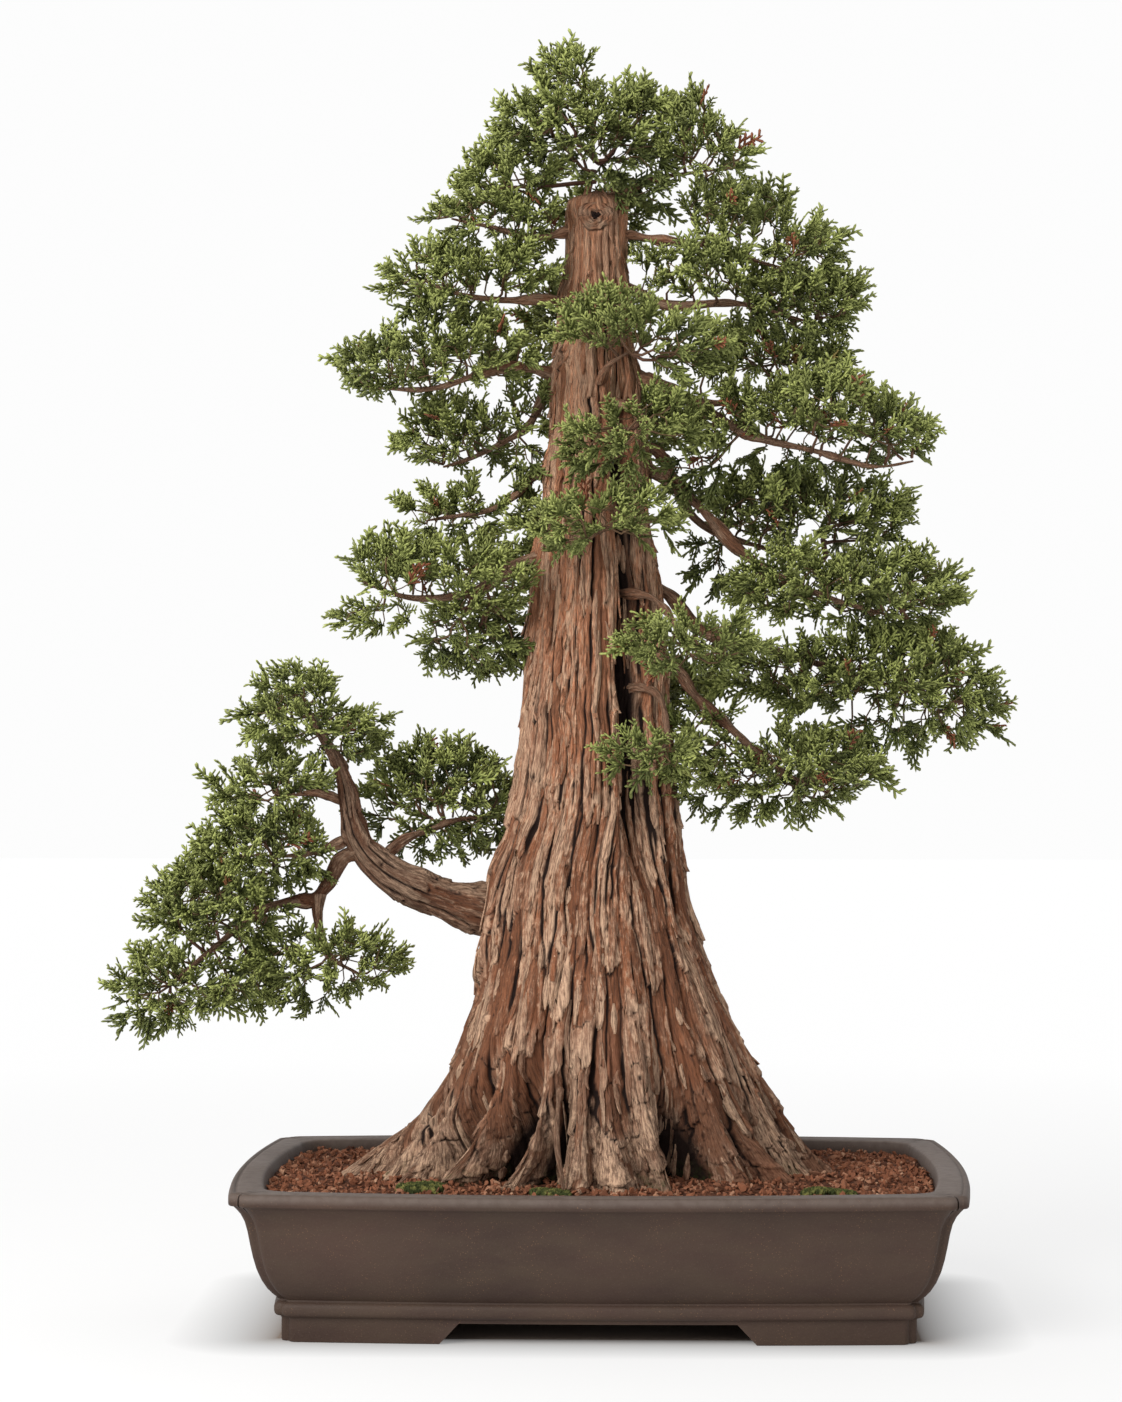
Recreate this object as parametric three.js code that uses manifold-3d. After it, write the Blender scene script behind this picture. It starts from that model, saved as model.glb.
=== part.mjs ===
// A juniper bonsai, about 82 cm tall, in a notched rectangular clay pot.
// Millimetres. +X is right, +Y is back, +Z is up. The pot stands on Z = 0.

import * as THREE from "three";
import { mergeVertices } from "three/addons/utils/BufferGeometryUtils.js";
import Module from "manifold-3d";

const wasm = await Module();
wasm.setup();

// Driving dimensions of the pot.
const potWidth = 450; // across two rim corners
const potDepth = 315; // across two rim corners
const potHeight = 94;
const frontBow = 14; // how far the long sides swell outwards at the rim
const sideBow = 8; // how far the short sides swell outwards at the rim
const footBowShare = 0.5; // how much of that swelling is left at the foot
const rimWidth = 19;
const cornerStep = 7; // the re-entrant step at each corner of the rim
const footCornerStep = 5;
const cornerRounding = 3.5;
const wallThickness = 13;
const floorThickness = 12;
const footInset = 30; // from the rim corner in to the foot
const footHeight = 13;
const footThickness = 17;
const frontArchWidth = 170; // gap between the front feet, at its top
const sideArchWidth = 110;
const archSlope = 12; // how much wider the gaps are at the ground, each side
const drainRadius = 13;
const drainSpacing = 190;

// Driving dimensions of what the pot holds.
const clearance = 0.3; // between pieces that touch
const soilDepthBelowRim = 8;
const soilMound = 6; // how much higher the soil is at the trunk
const screenWidth = 46;
const screenThickness = 1.6;
const screenHole = 9;

// Driving dimensions of the tree.
const trunkHeight = 655; // from the soil to its tip
const trunkX = -4; // the trunk stands just left of the pot's middle
const trunkFootRadius = 75;
const trunkTipRadius = 13;
const rootFlare = 84; // how far the roots spread beyond the trunk's foot
const rootFlareHeight = 64; // height over which the flare fades to a third
const rootDepth = 24; // how deep the roots' mass is set in the soil
const trunkDepthShare = 0.92; // front-to-back size against side-to-side size
const rootDepthLoss = 0.3; // the roots spread less to the front and back

const soilLevel = potHeight - soilDepthBelowRim;
const floorTop = footHeight + floorThickness;

// ---------------------------------------------------------------- solids

// A closed geometry as a solid that can be cut and joined.
function solidOf(geometry) {
  geometry.deleteAttribute("normal");
  geometry.deleteAttribute("uv");
  const merged = mergeVertices(geometry, 1e-4);
  const mesh = new wasm.Mesh({
    numProp: 3,
    vertProperties: new Float32Array(merged.attributes.position.array),
    triVerts: new Uint32Array(merged.index.array),
  });
  mesh.merge();
  return new wasm.Manifold(mesh);
}

// The largest body of a cut solid, so that each piece is one body.
function largestBody(solid) {
  const bodies = solid.decompose();
  return bodies.reduce((best, body) => (body.volume() > best.volume() ? body : best));
}

function joined(solids) {
  return solids.reduce((sum, solid) => sum.add(solid));
}

function cut(solid, tools) {
  return tools.reduce((rest, tool) => rest.subtract(tool), solid);
}

function geometryOf(solid) {
  const mesh = solid.getMesh();
  const geometry = new THREE.BufferGeometry();
  geometry.setAttribute("position", new THREE.BufferAttribute(mesh.vertProperties, 3));
  geometry.setIndex(new THREE.BufferAttribute(mesh.triVerts, 1));
  return geometry;
}

// A closed skin over anticlockwise rings of points, from the lowest ring of its outside on.
// A filling takes the other diagonals, so that it fits a hollow whose rings run downwards.
function skin(rings, filling = false) {
  const around = rings[0].length;
  const positions = [];
  const triangles = [];
  rings.forEach((ring) => ring.forEach((point) => positions.push(point.x, point.y, point.z)));
  for (let row = 0; row < rings.length - 1; row += 1) {
    for (let i = 0; i < around; i += 1) {
      const next = (i + 1) % around;
      const a = row * around + i;
      const b = row * around + next;
      const c = (row + 1) * around + next;
      const d = (row + 1) * around + i;
      if (filling) {
        triangles.push(a, b, d, b, c, d);
      } else {
        triangles.push(a, b, c, a, c, d);
      }
    }
  }
  const centreOf = (ring) => {
    const sum = new THREE.Vector3();
    ring.forEach((point) => sum.add(point));
    return sum.divideScalar(ring.length);
  };
  const first = centreOf(rings[0]);
  const last = centreOf(rings[rings.length - 1]);
  const firstIndex = positions.length / 3;
  positions.push(first.x, first.y, first.z, last.x, last.y, last.z);
  const lastRow = (rings.length - 1) * around;
  for (let i = 0; i < around; i += 1) {
    const next = (i + 1) % around;
    triangles.push(firstIndex, next, i);
    triangles.push(firstIndex + 1, lastRow + i, lastRow + next);
  }
  const geometry = new THREE.BufferGeometry();
  geometry.setAttribute("position", new THREE.Float32BufferAttribute(positions, 3));
  geometry.setIndex(triangles);
  return solidOf(geometry);
}

// An upright drum, a box and a sloped-end prism, used for cutting.
function drum(radius, bottom, top, x, y) {
  const geometry = new THREE.CylinderGeometry(radius, radius, top - bottom, 20);
  geometry.rotateX(Math.PI / 2);
  geometry.translate(x, y, (bottom + top) / 2);
  return solidOf(geometry);
}

function block(width, depth, bottom, top, x, y) {
  const geometry = new THREE.BoxGeometry(width, depth, top - bottom);
  geometry.translate(x, y, (bottom + top) / 2);
  return solidOf(geometry);
}

function archCutter(topWidth, length) {
  const below = 2; // the cutter starts below the ground
  const shape = new THREE.Shape();
  const halfTop = topWidth / 2;
  const halfGround = halfTop + archSlope * (1 + below / footHeight);
  shape.moveTo(-halfGround, -below);
  shape.lineTo(halfGround, -below);
  shape.lineTo(halfTop, footHeight);
  shape.lineTo(-halfTop, footHeight);
  shape.closePath();
  const geometry = new THREE.ExtrudeGeometry(shape, { depth: length, bevelEnabled: false });
  geometry.translate(0, 0, -length / 2);
  geometry.rotateX(Math.PI / 2);
  return geometry;
}

// ---------------------------------------------------------------- pot

// The pot's outline at one height: a rectangle with swelling sides and stepped corners.
// The points run anticlockwise from the middle of the right side.
function potOutline(inset, z) {
  const rise = z / potHeight;
  const step = footCornerStep + (cornerStep - footCornerStep) * rise;
  const bow = footBowShare + (1 - footBowShare) * rise;
  const halfWidth = potWidth / 2 - inset;
  const halfDepth = potDepth / 2 - inset;
  const sideEnd = halfDepth - step - cornerRounding;
  const frontEnd = halfWidth - step - cornerRounding;
  const sideParts = 2;
  const frontParts = 4;
  const quarter = [];
  for (let i = 0; i < sideParts; i += 1) {
    const share = i / sideParts;
    quarter.push([halfWidth + sideBow * bow * (1 - share * share), sideEnd * share]);
  }
  const round = (centreX, centreY) => {
    [Math.PI / 12, (Math.PI * 5) / 12].forEach((angle) => {
      const x = centreX + cornerRounding * Math.cos(angle);
      quarter.push([x, centreY + cornerRounding * Math.sin(angle)]);
    });
  };
  round(halfWidth - cornerRounding, sideEnd);
  quarter.push([halfWidth - step, halfDepth - step]);
  round(frontEnd, halfDepth - cornerRounding);
  for (let i = frontParts - 1; i > 0; i -= 1) {
    const share = i / frontParts;
    quarter.push([frontEnd * share, halfDepth + frontBow * bow * (1 - share * share)]);
  }
  const top = [[0, halfDepth + frontBow * bow]];
  const left = quarter.slice(1).reverse().map(([x, y]) => [-x, y]);
  const upper = [...quarter, ...top, ...left, [-quarter[0][0], 0]];
  const lower = [...quarter.slice(1), ...top, ...left];
  return [...upper, ...lower.map(([x, y]) => [-x, -y])];
}

function ringAt(outline, z, scale = 1) {
  return outline.map(([x, y]) => new THREE.Vector3(x * scale, y * scale, z));
}

// Inside of the pot: [inset, height] from the rim down to the floor.
const potInside = [
  [rimWidth, potHeight - 1],
  [rimWidth + 2, soilLevel],
  [rimWidth + 9, soilLevel - 30],
  [footInset + wallThickness - 4, floorTop + 6],
  [footInset + wallThickness + 2, floorTop],
];

function makePot() {
  const bandTop = footHeight + 11.5;
  const bandBottom = footHeight + 3.5;
  const outside = [
    [footInset, 0],
    [footInset, bandBottom - 1],
    [footInset - 4, bandBottom + 1.5],
    [footInset - 4, bandTop - 1.5],
    [footInset - 2, bandTop],
    [footInset - 4, bandTop + 2.5],
    [footInset - 12, potHeight - 53],
    [footInset - 17, potHeight - 38],
    [footInset - 20, potHeight - 20],
    [footInset - 23, potHeight - 13],
    [3, potHeight - 9],
    [0, potHeight - 7],
    [0, potHeight - 2],
    [1.5, potHeight],
    [rimWidth - 1.5, potHeight],
  ];
  const rings = [...outside, ...potInside].map(([inset, z]) => ringAt(potOutline(inset, z), z));
  const recess = potOutline(footInset + footThickness, 0);
  const hollow = skin([ringAt(recess, -2), ringAt(recess, footHeight)]);
  const frontArches = solidOf(archCutter(frontArchWidth, potDepth * 2));
  const sideArches = solidOf(archCutter(sideArchWidth, potWidth * 2).rotateZ(Math.PI / 2));
  const drains = [-1, 1].map((side) => drum(drainRadius, 0, floorTop + 5, (side * drainSpacing) / 2, 0));
  return cut(skin(rings), [hollow, frontArches, sideArches, ...drains]);
}

// A square of plastic netting that keeps the soil off a drain hole.
function makeScreen(x, grow = 0) {
  const bottom = floorTop + clearance - grow;
  const top = floorTop + clearance + screenThickness + grow;
  const plate = block(screenWidth + 2 * grow, screenWidth + 2 * grow, bottom, top, x, 0);
  if (grow > 0) {
    return plate;
  }
  const holes = [];
  const pitch = screenWidth / 3.6;
  for (let column = -1; column <= 1; column += 1) {
    for (let row = -1; row <= 1; row += 1) {
      holes.push(block(screenHole, screenHole, bottom - 1, top + 1, x + column * pitch, row * pitch));
    }
  }
  return cut(plate, holes);
}

// ---------------------------------------------------------------- trunk

// Hollows between the roots: [heading in degrees, half-width in degrees, depth share, height].
// The fourth climbs the trunk as a long furrow.
const rootHollows = [
  [222, 9, 0.42, 55],
  [243, 8, 0.36, 70],
  [304, 13, 0.46, 330],
  [345, 12, 0.26, 60],
  [38, 13, 0.34, 70],
  [82, 12, 0.38, 110],
  [124, 13, 0.34, 60],
  [152, 10, 0.3, 80],
  [193, 9, 0.24, 45],
  [268, 8, 0.2, 60],
];

// The trunk's mean radius at a height above the soil.
function trunkRadius(height) {
  const taper = trunkFootRadius + (trunkTipRadius - trunkFootRadius) * (Math.max(height, 0) / trunkHeight);
  const flare = rootFlare * Math.exp(-Math.max(height, 0) / rootFlareHeight);
  const buried = 1 - 0.3 * (Math.max(-height, 0) / rootDepth);
  return (taper + flare) * buried;
}

function trunkPoint(heading, height, grow) {
  let share = 1;
  rootHollows.forEach(([centre, halfWidth, depth, reach]) => {
    const away = ((heading - centre + 540) % 360) - 180;
    const fade = Math.exp(-Math.max(height, 0) / reach);
    share -= depth * fade * Math.exp(-((away / halfWidth) ** 2));
  });
  const ripple = 0.03 * Math.sin((heading * Math.PI) / 36 + height / 90);
  const radius = trunkRadius(height) * (share + ripple) + grow;
  const squash = trunkDepthShare - rootDepthLoss * Math.exp(-Math.max(height, 0) / rootFlareHeight);
  const angle = (heading * Math.PI) / 180;
  const y = radius * squash * Math.sin(angle) + grow * (1 - squash) * Math.sin(angle);
  return new THREE.Vector3(trunkX + radius * Math.cos(angle), y, soilLevel + height);
}

// A round limb that narrows along a smooth route, closed at both ends.
function limb(route, rootRadius, tipRadius, grow = 0) {
  const curve = new THREE.CatmullRomCurve3(route.map(([x, y, z]) => new THREE.Vector3(x, y, z)));
  const steps = Math.max(4, Math.round(curve.getLength() / 20));
  const sides = rootRadius > 9 ? 10 : 6;
  const frames = curve.computeFrenetFrames(steps, false);
  const rings = [];
  for (let i = 0; i <= steps; i += 1) {
    const share = i / steps;
    const centre = curve.getPointAt(share);
    centre.addScaledVector(frames.tangents[i], i === 0 ? -grow : 0);
    centre.addScaledVector(frames.tangents[i], i === steps ? grow : 0);
    const radius = rootRadius + (tipRadius - rootRadius) * share + grow * 1.1;
    const ring = [];
    for (let side = 0; side < sides; side += 1) {
      const angle = (side / sides) * Math.PI * 2;
      const point = centre.clone();
      point.addScaledVector(frames.normals[i], radius * Math.cos(angle));
      point.addScaledVector(frames.binormals[i], radius * Math.sin(angle));
      ring.push(point);
    }
    rings.push(ring);
  }
  return skin(rings);
}

// A point given from the trunk's middle, at a share of the trunk's height.
function fromTrunk(rise, [x, y, z]) {
  return [trunkX + x, y, soilLevel + rise * trunkHeight + z];
}

function routeOf(branch) {
  return branch.route.map((point) => fromTrunk(branch.rise, point));
}

// ---------------------------------------------------------------- branches and foliage

// Each branch leaves the trunk's middle at a share of its height and follows its route.
// Each pad of foliage is a few lobes: [x, y, z, half width, half depth, half height].
const sideBranches = [
  {
    name: "left_1",
    rise: 0.937,
    radii: [5, 2.5],
    route: [[0, 0, 0], [-18, 0, -3], [-42, -6, -10], [-72, -10, -2], [-92, -10, 5]],
    lobes: [[-75, -12, 7, 33, 46, 21], [-45, -6, 6, 23, 40, 18]],
  },
  {
    name: "left_2",
    rise: 0.861,
    radii: [6, 2.5],
    route: [[0, 0, 0], [-22, 0, 0], [-54, -6, 0], [-92, -14, 8], [-114, -16, 15]],
    lobes: [[-97, -12, 12, 36, 52, 27], [-48, -14, 19, 27, 42, 22]],
  },
  {
    name: "left_3",
    rise: 0.782,
    radii: [7, 3],
    route: [[0, 0, 0], [-26, 0, 5], [-60, -10, 7], [-105, -20, -3], [-142, -20, -6]],
    lobes: [[-125, -22, 10, 41, 48, 24], [-73, -26, 19, 37, 46, 28]],
  },
  {
    name: "left_4",
    rise: 0.79,
    radii: [6, 2.5],
    route: [[0, 0, 0], [-31, 8, -9], [-44, 16, -34], [-69, 22, -47], [-100, 26, -56]],
    lobes: [[-92, 28, -37, 40, 50, 26]],
  },
  {
    name: "left_5",
    rise: 0.705,
    radii: [6, 2.5],
    route: [[0, 0, 0], [-36, 6, -8], [-62, 12, -26], [-88, 14, -35], [-110, 14, -40]],
    lobes: [[-92, 14, -32, 35, 42, 18]],
  },
  {
    name: "left_6",
    rise: 0.618,
    radii: [8, 3],
    route: [[0, 0, 0], [-41, -4, -6], [-74, -14, -28], [-112, -22, -30], [-146, -24, -23]],
    lobes: [
      [-125, -24, -18, 43, 52, 26],
      [-73, -26, -22, 37, 46, 28],
      [-78, 18, -58, 38, 46, 26],
    ],
  },
  {
    name: "crown_right",
    rise: 0.962,
    radii: [5, 2.5],
    route: [[0, 0, 0], [19, 4, 5], [45, 4, 13], [70, 2, 19]],
    lobes: [[61, 0, 42, 30, 44, 26], [81, -6, 24, 22, 38, 22]],
  },
  {
    name: "right_1",
    rise: 0.928,
    radii: [5, 2.5],
    route: [[0, 0, 0], [21, 4, 1], [45, 6, -5], [87, 4, -11], [120, 0, -20]],
    lobes: [[90, 8, 13, 43, 52, 23], [130, 0, -14, 28, 46, 26]],
  },
  {
    name: "right_2",
    rise: 0.873,
    radii: [6, 3],
    route: [[0, 0, 0], [23, 4, 2], [48, 10, -7], [93, 14, -10], [142, 14, -18]],
    lobes: [[70, -14, 9, 42, 42, 21], [130, 14, -6, 45, 50, 28]],
  },
  {
    name: "right_3",
    rise: 0.8,
    radii: [5, 2.5],
    route: [[0, 0, 0], [28, 10, -4], [67, 22, -24], [107, 34, -22], [137, 38, -12]],
    lobes: [[99, 42, 12, 41, 44, 20], [136, 38, 0, 26, 40, 20]],
  },
  {
    name: "right_4",
    rise: 0.785,
    radii: [8, 3],
    route: [[0, 0, 0], [32, -8, -3], [67, -20, -20], [118, -28, -43], [169, -26, -57], [202, -20, -52]],
    lobes: [[144, -26, -22, 47, 56, 26], [187, -20, -37, 32, 44, 22], [91, -34, -27, 31, 44, 23]],
  },
  {
    name: "right_5",
    rise: 0.722,
    radii: [6, 3],
    route: [[0, 0, 0], [38, 8, -6], [67, 20, -47], [107, 28, -68], [146, 32, -76]],
    lobes: [[114, 24, -41, 47, 54, 26], [166, 32, -44, 38, 50, 27]],
  },
  {
    name: "right_6",
    rise: 0.7,
    radii: [8, 3],
    route: [[0, 0, 0], [38, -2, -4], [61, -8, -24], [93, -16, -53], [144, -20, -86], [196, -18, -96]],
    lobes: [[182, -18, -82, 55, 60, 28], [121, -24, -76, 38, 50, 26]],
  },
  {
    name: "right_7",
    rise: 0.58,
    radii: [9, 3],
    route: [[0, 0, 0], [43, 6, -3], [67, 10, -24], [113, 12, -42], [164, 10, -54], [228, 4, -74]],
    lobes: [
      [200, 6, -54, 52, 64, 30],
      [141, 2, -56, 43, 56, 27],
      [234, 4, -76, 32, 46, 24],
      [95, 14, -52, 29, 42, 20],
    ],
  },
  {
    name: "right_8",
    rise: 0.513,
    radii: [8, 3],
    route: [[0, 0, 0], [47, -4, -4], [67, -14, -28], [96, -20, -57], [142, -20, -84]],
    lobes: [[131, -18, -74, 58, 62, 28], [75, -26, -68, 32, 46, 24]],
  },
];

// Short spurs towards the front and the back, which are part of the trunk.
const spurs = [
  {
    name: "front_1",
    rise: 0.779,
    radii: [6, 3],
    route: [[0, 0, 0], [2, -26, 2], [9, -50, 10], [24, -70, 14]],
    lobes: [[12, -64, 33, 39, 42, 22], [56, -56, 19, 28, 42, 24]],
  },
  {
    name: "front_2",
    rise: 0.762,
    radii: [5, 3],
    route: [[0, 0, 0], [15, -26, -2], [28, -48, -8], [32, -64, -20]],
    lobes: [[10, -74, -30, 31, 38, 22], [42, -60, -16, 27, 38, 23]],
  },
  {
    name: "front_3",
    rise: 0.652,
    radii: [6, 3],
    route: [[0, 0, 0], [14, -36, 0], [14, -58, -10], [4, -76, -14]],
    lobes: [[-15, -76, -9, 30, 38, 19], [24, -74, -4, 33, 40, 20]],
  },
  {
    name: "front_4",
    rise: 0.575,
    radii: [6, 3],
    route: [[0, 0, 0], [34, -32, -2], [54, -62, -34], [60, -78, -40]],
    lobes: [[45, -80, -34, 32, 42, 20], [79, -68, -34, 29, 42, 20]],
  },
  {
    name: "front_5",
    rise: 0.478,
    radii: [6, 3],
    route: [[0, 0, 0], [36, -38, -2], [48, -64, -28], [44, -78, -38]],
    lobes: [[37, -78, -38, 28, 38, 19]],
  },
  {
    name: "back_1",
    rise: 0.93,
    radii: [5, 3],
    route: [[0, 0, 0], [3, 24, 0], [6, 44, 2], [8, 60, 6]],
    lobes: [[4, 62, 18, 30, 42, 23]],
  },
  {
    name: "back_2",
    rise: 0.83,
    radii: [6, 3],
    route: [[0, 0, 0], [-4, 28, 0], [-2, 58, 2], [0, 82, 8]],
    lobes: [[-12, 84, 18, 40, 50, 25]],
  },
  {
    name: "back_3",
    rise: 0.739,
    radii: [7, 3],
    route: [[0, 0, 0], [4, 34, -4], [10, 70, -6], [14, 102, -2]],
    lobes: [[18, 100, 8, 48, 56, 27]],
  },
  {
    name: "back_4",
    rise: 0.608,
    radii: [8, 3],
    route: [[0, 0, 0], [-4, 40, -4], [-8, 80, -12], [-10, 110, -14]],
    lobes: [[-20, 106, 0, 52, 56, 28]],
  },
  {
    name: "back_5",
    rise: 0.476,
    radii: [7, 3],
    route: [[0, 0, 0], [14, 44, -4], [26, 80, -8], [32, 110, -8]],
    lobes: [[36, 104, 2, 46, 56, 25]],
  },
];

// The big lower branch on the left: it rises to a small crown of its own,
// a second limb falls away from its elbow, and two short limbs leave them.
const lowBranchRise = 0.258;
const lowLimbs = {
  rising: {
    radii: [19, 6],
    route: [
      [0, 0, 0], [-59, 0, 5], [-87, -4, 10], [-113, -8, 20], [-135, -12, 33], [-150, -14, 46],
      [-157, -14, 62], [-161, -12, 81], [-167, -8, 99], [-176, -4, 116], [-186, -4, 128],
    ],
  },
  rear: { radii: [5, 3], route: [[-138, -12, 36], [-118, 4, 52], [-95, 18, 62], [-72, 30, 62]] },
  falling: {
    radii: [9, 3.5],
    route: [
      [-148, -14, 42], [-164, -18, 37], [-173, -20, 20], [-181, -22, 10], [-198, -22, 7],
      [-220, -24, -1], [-249, -24, -21], [-272, -22, -44],
    ],
  },
  returning: { radii: [5, 3], route: [[-178, -21, 14], [-178, -24, -8], [-172, -26, -26], [-150, -28, -36]] },
};
const lowPads = [
  { name: "low_apex", lobes: [[-192, -4, 131, 36, 46, 32], [-162, 2, 116, 26, 40, 23]] },
  { name: "low_middle", lobes: [[-207, -18, 84, 38, 46, 24]] },
  { name: "low_shoulder", lobes: [[-212, -26, 44, 45, 54, 28]] },
  { name: "low_fall", lobes: [[-242, -26, 6, 48, 56, 32]] },
  { name: "low_tip", lobes: [[-272, -22, -44, 36, 50, 28], [-234, -20, -40, 32, 46, 24]] },
  { name: "low_inner", lobes: [[-159, -28, -28, 41, 44, 23], [-194, -30, -27, 28, 40, 22]] },
  { name: "low_rear", lobes: [[-102, 26, 83, 48, 48, 30], [-76, 34, 67, 25, 40, 24]] },
];

// The crown's pads grow on the trunk's tip.
const crownPads = [
  { name: "crown", lobes: [[-18, -4, 46, 26, 34, 27], [-24, -12, 14, 42, 50, 28], [21, 10, 28, 30, 44, 26]] },
  { name: "crown_left", lobes: [[-55, -20, -12, 30, 42, 20]] },
];

function limbOf(rise, { route, radii }, grow) {
  return limb(route.map((point) => fromTrunk(rise, point)), radii[0], radii[1], grow);
}

function makeTrunk(grow = 0) {
  const around = 40;
  const heights = [-rootDepth, -3, 2, 12, 26, 46, 72, 104, 146];
  const upperRows = 9;
  const lastFixed = heights[heights.length - 1];
  for (let i = 1; i <= upperRows; i += 1) {
    heights.push(lastFixed + ((trunkHeight - lastFixed) * i) / upperRows);
  }
  const rings = heights.map((height, row) => {
    const reach = (row === 0 ? -grow : 0) + (row === heights.length - 1 ? grow : 0);
    const ring = [];
    for (let i = 0; i < around; i += 1) {
      const point = trunkPoint((i * 360) / around, height, grow * 1.2);
      point.z += reach;
      ring.push(point);
    }
    return ring;
  });
  const shoots = spurs.map((spur) => limb(routeOf(spur), spur.radii[0], spur.radii[1], grow));
  return joined([skin(rings), ...shoots]);
}

// One lobe of foliage: a cushion with a flatter underside and an uneven edge.
function lobe([x, y, z, halfWidth, halfDepth, halfHeight], rise, grow) {
  const around = 8;
  const tall = 6;
  const flatter = 0.8; // the underside's height against the top's
  const geometry = new THREE.SphereGeometry(1, around, tall);
  const places = geometry.attributes.position;
  const [centreX, centreY, centreZ] = fromTrunk(rise, [x, y, z]);
  for (let i = 0; i < places.count; i += 1) {
    const point = new THREE.Vector3(places.getX(i), places.getZ(i), places.getY(i));
    const heading = Math.atan2(point.y, point.x);
    const level = Math.hypot(point.x, point.y);
    const uneven = 1 + 0.07 * level * Math.sin(3 * heading + x);
    const height = (halfHeight + grow) * (point.z > 0 ? 1 : flatter);
    const px = centreX + point.x * uneven * (halfWidth + grow * 1.3);
    const py = centreY + point.y * uneven * (halfDepth + grow * 1.3);
    places.setXYZ(i, px, py, centreZ + point.z * height);
  }
  const order = geometry.index.array;
  for (let i = 0; i < order.length; i += 3) {
    [order[i], order[i + 1]] = [order[i + 1], order[i]];
  }
  return solidOf(geometry);
}

function padOf(lobes, rise, grow = 0) {
  return joined(lobes.map((sizes) => lobe(sizes, rise, grow)));
}

// ---------------------------------------------------------------- soil and moss

function soilHeight(share) {
  return soilLevel + soilMound * (1 - share * share);
}

function makeSoil(grow = 0) {
  const rings = [];
  const sideRows = potInside.slice(1).reverse();
  sideRows.forEach(([inset, z], row) => {
    const height = row === 0 ? z + clearance - grow : z;
    rings.push(ringAt(potOutline(inset + clearance - grow, z), height + (row ? grow : 0)));
  });
  const rim = potOutline(potInside[1][0] + clearance, soilLevel);
  [0.93, 0.72, 0.4].forEach((share, row) => {
    const ring = ringAt(rim, 0, share);
    ring.forEach((point, i) => {
      point.z = soilHeight(share) + grow + 0.9 * Math.sin(i * 1.7 + row * 2.3);
    });
    rings.push(ring);
  });
  return skin(rings, true);
}

// Low cushions of moss on the soil by the roots: [x, y, half width, half depth, height].
const mossPatches = {
  moss_left: [-112, -84, 16, 12, 6],
  moss_front: [-30, -104, 14, 10, 5],
  moss_right: [142, -92, 18, 12, 6],
};

function makeMoss([x, y, halfWidth, halfDepth, height]) {
  const geometry = new THREE.SphereGeometry(1, 12, 6);
  geometry.rotateX(Math.PI / 2);
  geometry.scale(halfWidth, halfDepth, height);
  geometry.translate(x, y, soilLevel + 2);
  return solidOf(geometry);
}

// ---------------------------------------------------------------- assembly

const group = new THREE.Group();

function addMesh(name, solid, color, roughness) {
  const material = new THREE.MeshStandardMaterial({ color, roughness, metalness: 0 });
  const mesh = new THREE.Mesh(geometryOf(solid), material);
  mesh.name = name;
  group.add(mesh);
}

const clay = 0x4a3d38;
const bark = 0x7a5540;
const needles = 0x4f6b34;

const trunk = makeTrunk();
const trunkSpace = makeTrunk(clearance);
const screens = [-1, 1].map((side) => (side * drainSpacing) / 2);
addMesh("pot", makePot(), clay, 0.75);
addMesh("drain_mesh_left", makeScreen(screens[0]), 0x2c2c2c, 0.6);
addMesh("drain_mesh_right", makeScreen(screens[1]), 0x2c2c2c, 0.6);
const screenSpaces = screens.map((x) => makeScreen(x, clearance));
addMesh("soil", largestBody(cut(makeSoil(), [trunkSpace, ...screenSpaces])), 0x6f4230, 0.95);
addMesh("trunk", trunk, bark, 0.9);
const soilSpace = makeSoil(clearance);
Object.entries(mossPatches).forEach(([name, sizes]) => {
  addMesh(name, largestBody(cut(makeMoss(sizes), [soilSpace, trunkSpace])), 0x56702c, 0.95);
});

// Every branch and pad is cut clear of the trunk and of what was placed before it.
const taken = [trunkSpace];
const woods = sideBranches.map((branch) => ({ name: branch.name, rise: branch.rise, parts: [branch] }));
woods.push({ name: "low_rising", rise: lowBranchRise, parts: [lowLimbs.rising, lowLimbs.rear] });
woods.push({ name: "low_falling", rise: lowBranchRise, parts: [lowLimbs.falling, lowLimbs.returning] });
woods.forEach(({ name, rise, parts }) => {
  const solid = joined(parts.map((part) => limbOf(rise, part, 0)));
  addMesh(`branch_${name}`, largestBody(cut(solid, taken)), bark, 0.9);
  taken.push(joined(parts.map((part) => limbOf(rise, part, clearance))));
});

const pads = [
  ...crownPads.map((pad) => ({ ...pad, rise: 1 })),
  ...sideBranches,
  ...spurs,
  ...lowPads.map((pad) => ({ ...pad, rise: lowBranchRise })),
];
pads.forEach(({ name, lobes, rise }) => {
  addMesh(`foliage_${name}`, largestBody(cut(padOf(lobes, rise), taken)), needles, 0.85);
  taken.push(padOf(lobes, rise, clearance));
});

// The origin is under the middle of the whole plant's box.
const box = new THREE.Box3().setFromObject(group);
group.position.set(-(box.min.x + box.max.x) / 2, -(box.min.y + box.max.y) / 2, -box.min.z);
group.updateMatrixWorld(true);

export default group;
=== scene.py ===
import math

import bmesh
import bpy
import numpy as np
from bpy.props import FloatProperty, FloatVectorProperty, IntProperty, PointerProperty
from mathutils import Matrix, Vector
from mathutils.bvhtree import BVHTree


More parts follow.
